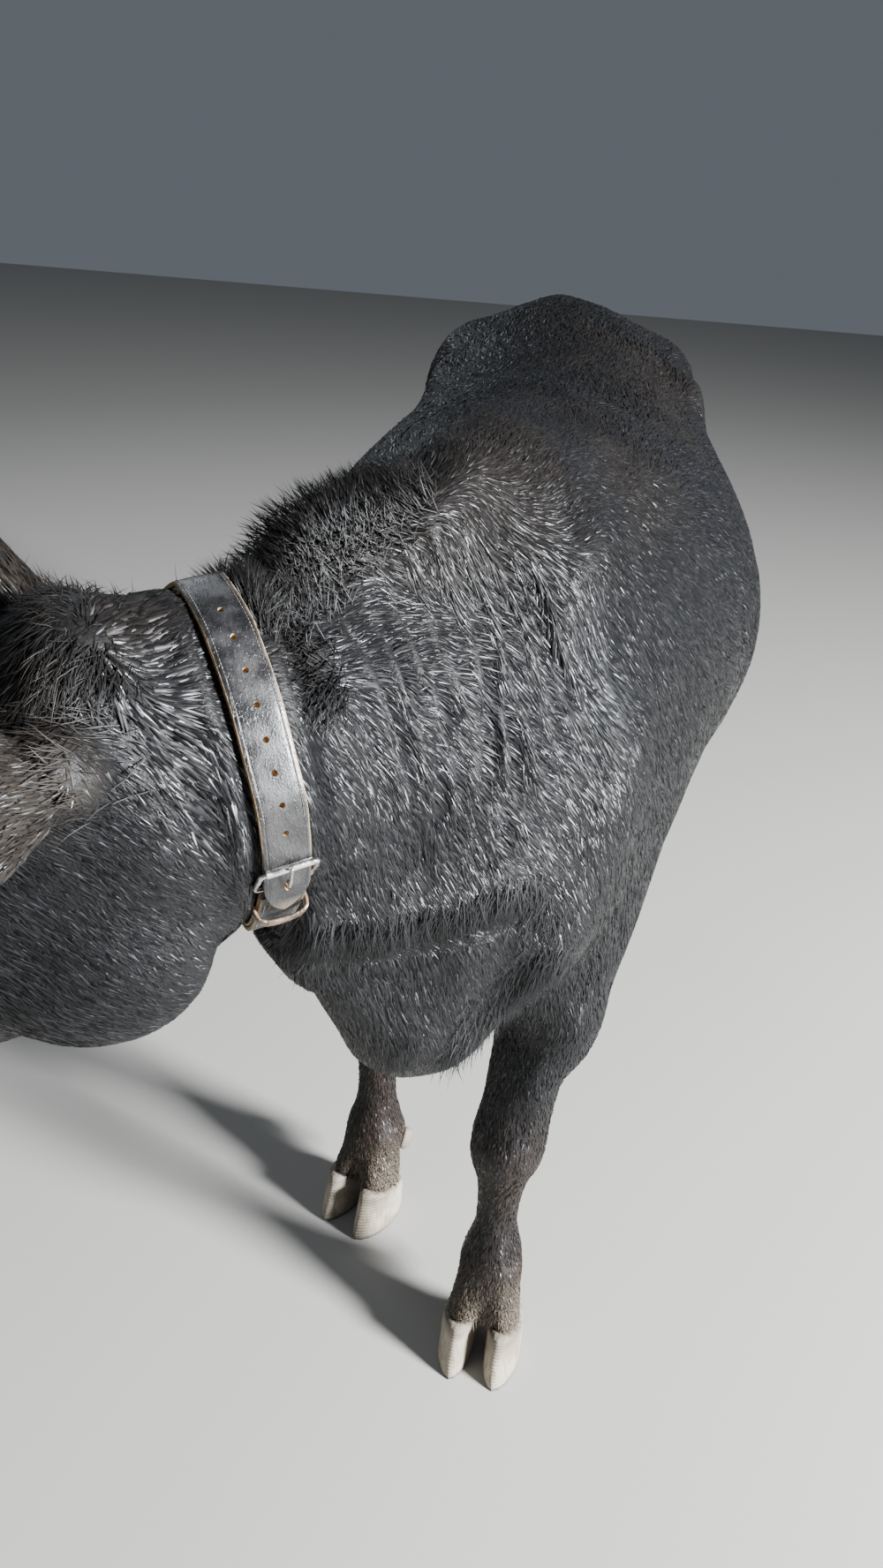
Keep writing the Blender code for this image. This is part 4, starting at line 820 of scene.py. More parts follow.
COATS = (  # each with its count of tufts, where they grow, and a tuft's length, width and lift
    ("coat_neck_left", 48000, trunk(-1.1, -0.40, 1), 0.023, 0.0017, 0.0015),
    ("coat_neck_right", 20000, trunk(-1.1, -0.40, -1), 0.025, 0.0030, 0.0016),
    ("coat_shoulder_left", 48000, trunk(-0.40, 0.0, 1), 0.022, 0.0017, 0.0012),
    ("coat_shoulder_right", 20000, trunk(-0.40, 0.10, -1), 0.025, 0.0032, 0.0014),
    ("coat_barrel_left", 29000, trunk(0.0, 0.48, 1), 0.024, 0.0025, 0.0013),
    ("coat_barrel_right", 18000, trunk(0.10, 0.55, -1), 0.027, 0.0036, 0.0014),
    ("coat_rump_left", 18000, trunk(0.48, 1.1, 1), 0.027, 0.0036, 0.0014),
    ("coat_rump_right", 16000, trunk(0.55, 1.1, -1), 0.028, 0.0038, 0.0014),
    ("coat_face", 40000, face_weight, 0.015, 0.0016, 0.0009),
    ("coat_legs", 38000, legs_weight, 0.012, 0.0020, 0.0006),
    ("coat_ears", 9000, ears_weight, 0.018, 0.0020, 0.0020),
)
for seed, (name, count, weight, long, wide, lift) in enumerate(COATS):
    roots_at, normals = roots(int(count * FEWER), weight, 20 + seed)
    if name == "coat_face":
        size = 1 - 0.55 * step(in_head(roots_at)[:, 0], 0.10, 0.40)
        long, wide, lift = long * size, wide * size, lift * size
    short_coat(name, roots_at, normals, long, wide / FEWER**0.3, lift, 40 + seed, hair)


# Longer hair: a bushy crest behind the strap, the fluff of the fold beside it, and the fringes of the
# crease over the brisket and of the armpit, in slim locks that leave the skin one way and bend another.
SHORT_LOCK = ((0, 0.75), (0.34, 1.0), (0.70, 0.68))  # each ring's place along the lock, and its width


def long_hair(name, roots_at, ways, normals, long, wide, bend, seed, finish, stations=SHORT_LOCK,
              flat=0.45, sink=0.002, stray=0.13, glow=1.0):
    """Slim closed locks, each with a ring of three points at every station and a fine tip."""
    draw = np.random.default_rng(seed)
    count = len(roots_at)
    vary = draw.uniform(0.65, 1.2, count)[:, None]
    long, wide = (np.broadcast_to(v, count)[:, None] * vary for v in (long, wide))
    ways = unit(ways + draw.normal(0, stray, (count, 3)))
    side = unit(np.cross(normals, ways) + 1e-6)
    up = np.cross(ways, side)
    curl = draw.normal(0, 1.2 * stray, count)[:, None]
    rings = []
    for t, share in stations:
        middle = roots_at - normals * sink + ways * long * t + (bend + side * curl) * long * t * t
        for turn in (90, 210, 330):
            c, s = math.cos(math.radians(turn)), math.sin(math.radians(turn))
            rings.append(middle + (side * c + up * s * flat) * wide * share / 2)
    rings.append(roots_at + ways * long + (bend + side * curl) * long)
    faces = [(0, 2, 1)]
    last = 3 * (len(stations) - 1)
    for low in range(0, last, 3):
        for k in range(3):
            a, b = low + k, low + (k + 1) % 3
            faces += [(a, b, b + 3), (a, b + 3, a + 3)]
    faces += [(last + k, last + (k + 1) % 3, last + 3) for k in range(3)]
    patch = [(0.5 + 0.5 * x, t) for t, _ in stations for x in (0, -1, 1)] + [(0.5, 1.0)]
    tips = [t for t, _ in stations for _ in range(3)] + [1]
    facing = [normals * 0.7 + up * 0.5 + side * 0.9 * s for _ in stations for s in (0, -1, 1)]
    facing = np.stack(facing + [normals + ways * 0.3], 1)
    facing /= np.linalg.norm(facing, axis=2)[:, :, None]
    # The highest shade values get the painted sheen of the hair, which glow turns down.
    shades = draw.uniform(-0.15, 1, count) * glow
    return joined_tufts(name, np.stack(rings, 1), faces, roots_at, patch, finish, tips, shades, facing)


def away_from_strap(places):
    """1 where hair may stand, 0 under the strap."""
    across = (places - STRAP_MIDDLE) @ STRAP_FACING
    return (np.abs(across) > 0.020) | (np.linalg.norm(places - STRAP_MIDDLE, axis=1) > 0.25)


def near_line(line, reach):
    """Weight of the skin within reach of a line laid on it, but not under the strap."""
    path = laid(HIDE_TREE, line)

    def weight(places):
        gap = gap_to(places, path)[0]
        return np.exp(-((gap / reach) ** 2)) * (gap < 2 * reach) * away_from_strap(places)
    return weight


# Each with its count of locks, the line that they grow along and how wide beside it, the way that they
# lie and how much they stand out from the skin, and a lock's length, width and bend.
LONG_HAIR = (
    ("hair_crest", 5400, ((-0.010, -0.628, 1.130), (0.020, -0.560, 1.165), (0.045, -0.480, 1.180)),
     0.030, (-0.42, -0.10, 0.10), 0.60, 0.031, 0.0014, (0.0, 0.10, -0.15)),
    ("hair_fold", 1700, ((0.000, -0.610, 1.120), (0.030, -0.630, 1.090), (0.055, -0.645, 1.060)),
     0.016, (-0.55, -0.35, -0.30), 0.75, 0.030, 0.0016, (-0.10, -0.05, -0.30)),
    ("hair_brisket", 2600, ((0.025, -0.640, 0.828), (0.060, -0.625, 0.815), (0.100, -0.605, 0.805),
                            (0.150, -0.575, 0.808), (0.215, -0.530, 0.820), (0.240, -0.505, 0.790)),
     0.020, (-0.10, -0.15, -0.90), 0.20, 0.030, 0.0014, (-0.10, 0.10, -0.15)),
    ("hair_armpit", 1100, ((0.179, -0.526, 0.640), (0.215, -0.500, 0.665), (0.250, -0.505, 0.720)),
     0.024, (-0.45, -0.20, -0.70), 0.30, 0.028, 0.0016, (-0.10, 0.0, -0.2)),
)
for seed, (name, count, line, reach, way, out, long, wide, bend) in enumerate(LONG_HAIR):
    roots_at, normals = roots(int(count * FEWER), near_line(line, reach), 60 + seed)
    ways = normals * out + np.array(way) + 0.25 * rolling(roots_at, 0.03, 9)[:, None] * np.cross(normals, way)
    long_hair(name, roots_at, ways, normals, long, wide, np.array(bend), 70 + seed, hair, stray=0.18, glow=0.45)


# Poll: a bushy tuft of longer hair on the top of the head, that parts from a whorl and falls over the
# forehead and the temples.
def poll_weight(places):
    own = in_head(places)
    away = ((own[:, 0] - 0.012) / 0.058) ** 2 + (own[:, 1] / 0.052) ** 2
    return (away < 1) * (own[:, 2] > -0.05) * (head_share(places) + 0.2)


def sided(way, sides):
    """A way in the head's own frame for each lock, with its part across the head times the lock's side."""
    whole = np.ones(len(sides))
    return np.stack([whole * way[0], sides * way[1], whole * way[2]], 1) @ TURN_BACK.T


roots_at, normals = roots(int(2800 * FEWER), poll_weight, 81)
own = in_head(roots_at)
ways = np.stack([0.55 + 6 * (own[:, 0] - 0.01), own[:, 1] * 22, np.zeros(len(own))], 1) @ TURN_BACK.T
ways = unit(ways) + normals * 0.42
bend = sided((0.35, 8, -0.55), own[:, 1])
poll_hair = long_hair("hair_poll", roots_at, ways, normals, 0.022, 0.0013, bend, 82, hair,
                      stray=0.30, glow=0.4)
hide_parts("poll_tuft")


# Ears: long soft hair that streams from the root to the tip on the back of each ear, and fills its cup.
EAR_OPENING = (0.75, -0.35, -0.45)


def ear_root_share(places):
    """1 round the root of each ear, 0 away from it."""
    found = np.zeros(len(places))
    for side in (1, -1):
        away = np.linalg.norm(places - ear_root(side), axis=1)
        found = np.maximum(found, 1 - step(away, 0.030, 0.062))
    return found


def ear_hair_weight(places):
    return np.maximum(ear_share(places) > 0.25, 1.3 * ear_root_share(places))


roots_at, normals = roots(int(3200 * FEWER), ear_hair_weight, 83)
ear_sides = np.sign(in_head(roots_at)[:, 1])
along = unit(sided(EAR_WAY, ear_sides))
opening = unit(sided(EAR_OPENING, ear_sides))
inside = (((normals * opening).sum(1) > 0.2) & (ear_share(roots_at) > 0.25))[:, None]
ways = along + normals * np.where(inside, 0.55, 0.05)
ways = ways + unit(np.cross(normals, along)) * 0.25 * rolling(roots_at, 0.04, 12)[:, None]
long = np.where(inside[:, 0], 0.028, 0.024) + 0.010 * ear_root_share(roots_at)
bend = along * 0.1 - normals * 0.12
long_hair("hair_ears", roots_at, ways, normals, long, 0.0013, bend, 84, hair, stray=0.20, glow=0.35)


# Tail switch: a thick tassel of long hair that hangs from the end of the tail, wide at its middle and
# fine at its end.
SWITCH_AXIS = Vector((0.098, 0.980, 0))
SWITCH_TOP, SWITCH_LOW = 0.600, 0.290
SWITCH_SPREAD = 0.17
SWITCH_LOCK = ((0, 0.5), (0.12, 0.9), (0.3, 1.0), (0.5, 0.95), (0.72, 0.7), (0.88, 0.4))
draw = np.random.default_rng(85)
count = int(620 * FEWER)
start = SWITCH_TOP - 0.16 * draw.uniform(0, 1, count) ** 1.3
turns = draw.uniform(0, 2 * math.pi, count)
out = np.stack([np.cos(turns), np.sin(turns), np.zeros(count)], 1)
roots_at = np.array(SWITCH_AXIS) + out * 0.007 + np.stack([np.zeros(count), np.zeros(count), start], 1)
ways = out * SWITCH_SPREAD + (0, 0, -1.0)
long = (start - SWITCH_LOW) * draw.uniform(0.80, 1.0, count) / 1.1
switch = long_hair("tail_switch_hair", roots_at, ways, out, long, 0.0046, -out * SWITCH_SPREAD, 86, hair,
                   stations=SWITCH_LOCK, flat=0.6, stray=0.030)
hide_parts("tail_switch")


# Fringes: the hair that overhangs each hoof, and sparse whiskers on the muzzle.
def coronet_weight(places):
    return (places[:, 2] < 0.088) * (head_share(places) < 0.5)


def muzzle_weight(places):
    own = in_head(places)
    return (own[:, 0] > 0.33) * (own[:, 2] < -0.16) * (bare_share(places) < 0.5)


roots_at, normals = roots(int(1500 * FEWER), coronet_weight, 87)
ways = normals * 0.30 + (0, 0, -1.0)
long_hair("hair_coronets", roots_at, ways, normals, 0.016, 0.0018, np.array((0, 0, -0.1)), 88, hair)
roots_at, normals = roots(110, muzzle_weight, 89)
long_hair("whiskers", roots_at, normals, normals, 0.028, 0.0006, np.array((0, 0, -0.3)), 90, hair)


# Eyes: large, dark and wet, deep in their sockets, with a brown iris, a wide pupil, thick lids of bare
# skin with a wet rim, and lashes.
LID_WIDE, LID_TALL = 0.0172, 0.0112
LID_STEPS = 48
HEAD_TURN = HEAD.to_3x3().normalized()


def oval(tree, across, up, wide, tall):
    """Distance from the middle of an oval, 1 on its edge."""
    squares = []
    for off, half in ((across, wide), (up, tall)):
        share = combine(tree, "DIVIDE", combine(tree, "ABSOLUTE", off, 0), half)
        squares.append(combine(tree, "POWER", share, 2.0))
    return combine(tree, "POWER", combine(tree, "ADD", *squares), 0.5)


eye_glass, tree, shader = new_finish("eye_glass")
gaze = kept(tree, "gaze", "Vector")
across, above, _ = split(tree, gaze)
rays = noise_on(tree, gaze, 9)
brown = blended(tree, ranged(tree, rays, 0.35, 0.65), (0.016, 0.008, 0.004), (0.060, 0.030, 0.014))
white = blended(tree, ranged(tree, rays, 0.45, 0.60), (0.30, 0.22, 0.19), (0.12, 0.07, 0.06))
iris_edge = ranged(tree, oval(tree, across, above, 0.60, 0.56), 0.92, 1.06)
pupil_edge = ranged(tree, oval(tree, across, above, 0.34, 0.17), 1.12, 0.96)
colour = blended(tree, pupil_edge, blended(tree, iris_edge, brown, white), (0.0015, 0.002, 0.004))
coated(tree, shader, colour, ranged(tree, rays, 0.2, 0.8, 0.03, 0.08))
shader.inputs["Coat Weight"].default_value = 1.0
shader.inputs["Coat Roughness"].default_value = 0.02

lid_skin, tree, shader = new_finish("lid_skin")
folds = noise_on(tree, object_places(tree), 420, 3)
colour = blended(tree, ranged(tree, folds, 0.35, 0.65), (0.006, 0.005, 0.005), (0.022, 0.017, 0.016))
coated(tree, shader, colour, ranged(tree, folds, 0.3, 0.7, 0.22, 0.42))
relieved(tree, shader, folds, 0.5, 0.0006)


def smooth(bm):
    for face in bm.faces:
        face.smooth = True
    return bm


def swept(rings, closed=False):
    """A body through rings of like points, bridged one to the next, with its ends filled."""
    bm = bmesh.new()
    loops = []
    for ring in rings:
        verts = [bm.verts.new(point) for point in ring]
        loops.append([bm.edges.new((verts[k - 1], verts[k])) for k in range(len(verts))])
    pairs = list(zip(loops, loops[1:])) + ([(loops[-1], loops[0])] if closed else [])
    for low, high in pairs:
        bmesh.ops.bridge_loops(bm, edges=low + high)
    if not closed:
        bmesh.ops.edgeloop_fill(bm, edges=loops[0])
        bmesh.ops.edgeloop_fill(bm, edges=loops[-1])
    bmesh.ops.recalc_face_normals(bm, faces=bm.faces)
    return smooth(bm)


def tube_rings(points, radii, sides=10, closed=False, aside=Vector((0, 0, 1))):
    """Round rings along a line of points, each with its own radius."""
    rings, last = [], None
    count = len(points)
    for k, point in enumerate(points):
        before = points[k - 1] if closed or k else point
        after = points[(k + 1) % count] if closed or k < count - 1 else point
        along = (after - before).normalized()
        side = along.cross(aside if abs(along.dot(aside)) < 0.95 else Vector((1, 0, 0))).normalized()
        if last is not None and side.dot(last) < 0:
            side = -side
        last, other = side, along.cross(side)
        ring = []
        for j in range(sides):
            angle = 2 * math.pi * j / sides
            ring.append(point + (side * math.cos(angle) + other * math.sin(angle)) * radii[k])
        rings.append(ring)
    return rings


for side, word, centre in ((1, "left", EYES[0]), (-1, "right", EYES[1])):
    look = (HEAD_TURN @ Vector((0.40, side * 0.90, 0.12))).normalized()
    across = (HEAD_TURN @ Vector((0.12, 0, 1))).cross(look).normalized()
    above = look.cross(across)
    own = Matrix((across, above, look)).transposed().to_4x4()
    ball = bmesh.new()
    bmesh.ops.create_uvsphere(ball, u_segments=40, v_segments=28, radius=EYE_RADIUS)
    for vert in ball.verts:
        bulge = max(0.0, vert.co.z / EYE_RADIUS - 0.80) / 0.20
        vert.co += vert.co.normalized() * 0.0012 * bulge * bulge * (3 - 2 * bulge)
    gazes = np.array([vert.co / EYE_RADIUS for vert in ball.verts])
    bmesh.ops.transform(ball, matrix=Matrix.Translation(centre) @ own, verts=ball.verts)
    eyeball = piece("eyeball_" + word, smooth(ball), eye_glass)
    painted(eyeball.data, "gaze", gazes)
    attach(eyeball, "root")
    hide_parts("eye_" + word)

    rim, radii = [], []
    for k in range(LID_STEPS):
        angle = 2 * math.pi * k / LID_STEPS
        x, y = LID_WIDE * math.cos(angle), LID_TALL * math.sin(angle) * (1 - 0.25 * math.cos(angle) ** 4)
        deep = math.sqrt(max((EYE_RADIUS + 0.0014) ** 2 - x * x - y * y, 1e-6))
        rim.append(centre + own.to_3x3() @ Vector((x, y, deep)))
        radii.append(0.0020 + 0.0010 * max(0.0, math.sin(angle)))
    lids = piece("lids_" + word, swept(tube_rings(rim, radii, 10, True, look), True), lid_skin)
    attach(lids, "root")

    lashes = list(range(1, 24)) * 3 + list(range(27, 46))
    draw = np.random.default_rng(91)
    spots = np.array([rim[k] for k in lashes]) + draw.normal(0, 0.0006, (len(lashes), 3))
    angle = 2 * math.pi * np.array(lashes) / LID_STEPS
    ways = np.outer(np.cos(angle), np.array(across)) * 0.5 + np.outer(np.sin(angle), np.array(above)) * 0.45
    ways = ways + np.array(look) * 0.9 + np.array(HEAD_TURN @ Vector((0.35, 0, 0)))
    long = np.where(np.sin(angle) > 0, 0.019, 0.009)
    facing = np.tile(np.array(look), (len(lashes), 1))
    bend = np.array(above) * -0.1
    long_hair("lashes_" + word, spots, ways, facing, long, 0.0006, bend, 92, hair, flat=0.8, sink=0.0)


# Hooves: two horn claws and two small dewclaws on each foot, with growth rings round the wall, darker at
# the coronet and soiled at the worn edge. The faces of the solids are joined, and then rounded off.
HORN_DARK, HORN_PALE = (0.20, 0.165, 0.12), (0.36, 0.31, 0.235)
HORN_GRAIN, HORN_RING = (0.12, 0.095, 0.07), (0.46, 0.41, 0.33)
HORN_SOIL, HORN_TOP = (0.13, 0.11, 0.085), (0.09, 0.07, 0.055)
RINGS_FINE = 1350.0
FLAT_WITHIN, SHARP_FROM = math.radians(1.0), math.radians(50)
HOOF_NODES = [f"{end}_{side}_{part}" for end in ("fore", "hind") for side in ("left", "right")
              for part in ("claw_inner", "claw_outer", "dewclaw_inner", "dewclaw_outer")]


def stretched(tree, vector, scale):
    made = tree.nodes.new("ShaderNodeMapping")
    made.inputs["Scale"].default_value = scale
    tree.links.new(vector, made.inputs["Vector"])
    return made.outputs[0]


horn, tree, shader = new_finish("hoof_horn")
where = object_places(tree)
level = split(tree, where)[2]
wander = noise_on(tree, where, 28)
lifted = combine(tree, "ADD", level, both(tree, wander, 0.006))
growth = combine(tree, "SINE", both(tree, lifted, RINGS_FINE), 0)
grain = noise_on(tree, stretched(tree, where, (1, 1, 0.12)), 240)
wall = blended(tree, ranged(tree, wander, 0.35, 0.65), HORN_DARK, HORN_PALE)
wall = blended(tree, ranged(tree, grain, 0.45, 0.70, 0, 0.55), wall, HORN_GRAIN)
wall = blended(tree, ranged(tree, growth, 0.2, 1.0, 0, 0.30), wall, HORN_RING)
wall = blended(tree, ranged(tree, level, 0.008, 0.0), wall, HORN_SOIL)
wall = blended(tree, ranged(tree, lifted, 0.052, 0.070, 0, 0.6), wall, HORN_TOP)
coated(tree, shader, wall, ranged(tree, wander, 0.3, 0.7, 0.55, 0.82))
relieved(tree, shader, combine(tree, "ADD", both(tree, growth, 0.35), both(tree, grain, 0.8)), 0.7, 0.0009)

for node in HOOF_NODES:
    hoof_bm = bmesh.new()
    hoof_bm.from_mesh(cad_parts[node].data)
    bmesh.ops.remove_doubles(hoof_bm, verts=hoof_bm.verts, dist=SAME_PLACE)
    bmesh.ops.dissolve_limit(hoof_bm, angle_limit=FLAT_WITHIN, verts=hoof_bm.verts, edges=hoof_bm.edges)
    bmesh.ops.join_triangles(hoof_bm, faces=hoof_bm.faces,
                             angle_face_threshold=0.9, angle_shape_threshold=0.9)
    sharp = hoof_bm.edges.layers.float.new("crease_edge")
    for edge in hoof_bm.edges:
        if len(edge.link_faces) == 2 and edge.calc_face_angle(0) > SHARP_FROM:
            edge[sharp] = 0.75
    made = piece(node + "_horn", smooth(hoof_bm), horn)
    rounder = made.modifiers.new("rounder", "SUBSURF")
    rounder.levels = rounder.render_levels = 2
    applied(made)
    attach(made, "root")
    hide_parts(node)


# Neck strap: worn black leather that goes once round the neck, with a crowned face, tan raw edges, a slot
# for the prong, eight punched holes, and a free end that lies over the buckle's bar. It is swept round
# the loop of the solids, and its heights are measured from the skin under it.
LOOP = 56  # places round the loop
STRAP_WIDE, STRAP_THICK, LINING_THICK = 0.038, 0.0045, 0.0035
STRAP_LIFT, STRAP_FLAT, STRAP_OVER = 0.0012, 0.0050, 0.0104
HINGE = 51.3 - LOOP
FREE_RISE = {50: 0.0, 51: 1.0, 52: 0.825, 53: 0.547, 54: 0.30, 55: 0.087, 0: 0.043}
FREE_END = ((5.7, 0), (4.7, 0.04), (3.7, 0.09), (2.9, 0.25), (2.5, 0.35), (1.8, 0.52), (1.2, 0.68),
            (0.65, 0.84), (0.15, 0.96), (-0.3, 1), (-0.9, 1), (-1.5, 1), (-1.9, 1))
BAND_PROFILE = ((-0.95, 1.0), (-0.6, 1.08), (-0.2, 1.12), (0.2, 1.12), (0.6, 1.08), (0.95, 1.0),
                (0.99, 0.86), (1.0, 0.6), (1.0, 0.35), (0.985, 0.10), (0.95, 0.0), (0.4, 0.0),
                (-0.4, 0.0), (-0.95, 0.0), (-0.985, 0.10), (-1.0, 0.35), (-1.0, 0.6), (-0.99, 0.86))
SLOT_PLACE = HINGE + 0.95
HOLE_PLACES = [SLOT_PLACE] + [HINGE + 4.76 + 1.557 * k for k in range(8)]
RAW_FROM = 0.0183
loop_middle, loop_facing = Vector(STRAP_MIDDLE), Vector(STRAP_FACING)
loop_side = Vector((0, 0, 1)).cross(loop_facing).normalized()
loop_lean = loop_facing.cross(loop_side)


def loop_way(place):
    """Which way a place on the loop lies from its middle."""
    angle = 2 * math.pi * place / LOOP
    return loop_side * math.cos(angle) + loop_lean * math.sin(angle)


strap_bm = bmesh.new()
strap_bm.from_mesh(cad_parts["collar_strap"].data)
strap_tree = BVHTree.FromBMesh(strap_bm)
strap_bm.free()
REACH = []
for k in range(LOOP):
    way = loop_way(k + 0.001)
    hit = strap_tree.ray_cast(loop_middle + way * 0.4 + loop_facing * 0.012, -way)
    rise = FREE_RISE.get(k, 0.0)
    REACH.append(0.4 - hit[3] - STRAP_FLAT - (STRAP_OVER - STRAP_FLAT) * rise - STRAP_THICK)


def strap_at(place, height, across=0.0):
    """A point by its place along the loop, its height off the skin and how far it lies across the strap."""
    k = math.floor(place)
    t = place - k
    a, b, c, d = (REACH[(k + j) % LOOP] for j in (-1, 0, 1, 2))
    reach = b + 0.5 * t * (c - a + t * (2 * a - 5 * b + 4 * c - d + t * (3 * (b - c) + d - a)))
    return loop_middle + loop_way(place) * (reach + height) + loop_facing * across


def set_on(along, above):
    """A turn that lays X along the strap and Z out of it."""
    return Matrix((along, above.cross(along), above)).transposed().to_4x4()


def band(stations, thick, wide, shape=lambda place: 1.0):
    """A strap through stations, each a place on the loop and a height, narrowed by its shape."""
    rings = []
    for place, height in stations:
        half = wide / 2 * shape(place)
        rings.append([strap_at(place, height + v * thick, u * half) for u, v in BAND_PROFILE])
    return swept(rings)


def free_height(place):
    """Height of the free end, which climbs from the strap's own level onto the buckle's far bar."""
    steps = [s for s, _ in reversed(FREE_END)]
    shares = [share for _, share in reversed(FREE_END)]
    return STRAP_FLAT + (STRAP_OVER - STRAP_FLAT) * float(np.interp(place - HINGE, steps, shares))


def pointed(place):
    """The strap's share of its full width, 1 but for the free end's narrowing tip."""
    t = max(0.0, 1 - (place - HINGE + 1.95) / 2.9)
    return max(0.10, (1 - min(t, 1.0) ** 1.7)) ** 0.85


def strap_marks(made, thick):
    """Keeps for each point how far across and along the strap it lies, and where the leather is cut raw."""
    off = points_of(made.data) - np.array(loop_middle)
    across = off @ np.array(loop_facing)
    x, y = off @ np.array(loop_side), off @ np.array(loop_lean)
    turn_at = np.arctan2(y, x) / (2 * math.pi) * LOOP % LOOP
    reach = np.array([(strap_at(p, 0.0) - loop_middle).length for p in turn_at])
    height = np.hypot(x, y) - reach
    over = (turn_at > 49) & (height > STRAP_FLAT + STRAP_THICK)
    turn_at = np.where(over | (turn_at > 50.9), turn_at - LOOP, turn_at)
    raw = (np.abs(across) > RAW_FROM) * (height < thick)
    painted(made.data, "belt", np.stack([across / (STRAP_WIDE / 2), turn_at, raw], 1))


run = [(50.75 - 0.25 * k, STRAP_FLAT) for k in range(200)]
run += [(1.0 - 0.15 * k, free_height(1.0 - 0.15 * k)) for k in range(2, 51)]
strap = piece("strap", band([s for s in run if s[0] > HINGE - 1.9], STRAP_THICK * 0.94, STRAP_WIDE, pointed))
cut_bm = bmesh.new()
for place in HOLE_PLACES:
    middle, out = strap_at(place, 0.010), strap_at(place, 0.030)
    above = (out - middle).normalized()
    own = set_on(above.cross(loop_facing).normalized(), above)
    size = Matrix.Diagonal((0.0075, 0.0027, 1, 1) if place == SLOT_PLACE else (0.0024, 0.0024, 1, 1))
    bmesh.ops.create_cone(cut_bm, cap_ends=True, segments=24, radius1=1, radius2=1, depth=0.03,
                          matrix=Matrix.Translation(middle) @ own @ size)
cutter = piece("strap_holes", cut_bm)
punch = strap.modifiers.new("punch", "BOOLEAN")
punch.operation = "DIFFERENCE"
punch.solver = "EXACT"
punch.object = cutter
applied(strap)
bpy.data.objects.remove(cutter)
strap.data.set_sharp_from_angle(angle=math.radians(40))
strap_marks(strap, STRAP_FLAT + STRAP_THICK * 0.90)

worn, tree, shader = new_finish("worn_leather")
shader.inputs["Specular IOR Level"].default_value = 0.75
belt = kept(tree, "belt", "Vector")
across_at, place_at, raw_at = split(tree, belt)
drawn = stretched(tree, belt, (5, 1.2, 0))
where = object_places(tree)
wear = noise_on(tree, where, 55, 6)
scuffs = noise_on(tree, drawn, 6.0, 5)
bends = noise_on(tree, drawn, 1.4, 3)
fibres = noise_on(tree, where, 700, 3)
edge_wear = ranged(tree, across_at, -0.86, -1.0, 0, 0.8)
edge_wear = both(tree, edge_wear, ranged(tree, wear, 0.35, 0.55, 0.3, 1.0))
tip_wear = ranged(tree, place_at, HINGE - 0.2, HINGE - 1.5)
tip_wear = both(tree, tip_wear, ranged(tree, wear, 0.3, 0.6, 0.3, 0.9))
raw_colour = blended(tree, ranged(tree, fibres, 0.35, 0.65), (0.16, 0.095, 0.040), (0.42, 0.29, 0.15))
leather = blended(tree, ranged(tree, wear, 0.38, 0.66), (0.006, 0.006, 0.007), (0.024, 0.023, 0.024))
leather = blended(tree, ranged(tree, scuffs, 0.56, 0.70, 0, 0.7), leather, (0.055, 0.049, 0.045))
leather = blended(tree, edge_wear, leather, (0.17, 0.125, 0.085))
leather = blended(tree, tip_wear, leather, (0.13, 0.095, 0.070))
leather = blended(tree, raw_at, leather, raw_colour)
gloss = combine(tree, "ADD", ranged(tree, wear, 0.3, 0.7, 0.26, 0.48), both(tree, raw_at, 0.4))
coated(tree, shader, leather, gloss)
groove_at = combine(tree, "SUBTRACT", combine(tree, "ABSOLUTE", across_at, 0), 0.80)
groove = ranged(tree, combine(tree, "ABSOLUTE", groove_at, 0), 0.0, 0.05)
heights = combine(tree, "ADD", both(tree, cells_on(tree, where, 620), 0.25), both(tree, groove, 0.8))
heights = combine(tree, "ADD", heights, ranged(tree, bends, 0.50, 0.46, 0, 0.7))
relieved(tree, shader, heights, 0.6, 0.0007)

raw_leather, tree, shader = new_finish("raw_leather")
where = object_places(tree)
fibres = noise_on(tree, where, 650, 4)
stains = noise_on(tree, where, 40, 4)
tan = blended(tree, ranged(tree, fibres, 0.35, 0.65), (0.20, 0.12, 0.055), (0.46, 0.32, 0.17))
tan = blended(tree, ranged(tree, stains, 0.50, 0.72, 0, 0.85), tan, (0.07, 0.045, 0.03))
coated(tree, shader, tan, ranged(tree, stains, 0.3, 0.7, 0.62, 0.85))
relieved(tree, shader, fibres, 0.6, 0.0005)

# The leather shows raw on the walls of the holes.
strap.data.materials.append(worn)
strap.data.materials.append(raw_leather)
for place in HOLE_PLACES:
    middle = strap_at(place, 0.010)
    out = (strap_at(place, 0.030) - middle).normalized()
    size = 0.0080 if place == SLOT_PLACE else 0.0026
    for face in strap.data.polygons:
        off = face.center - middle
        off -= out * off.dot(out)
        if off.length < size and abs(face.normal.dot(out)) < 0.5:
            face.material_index = 1
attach(strap, "root")
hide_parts("collar_strap")


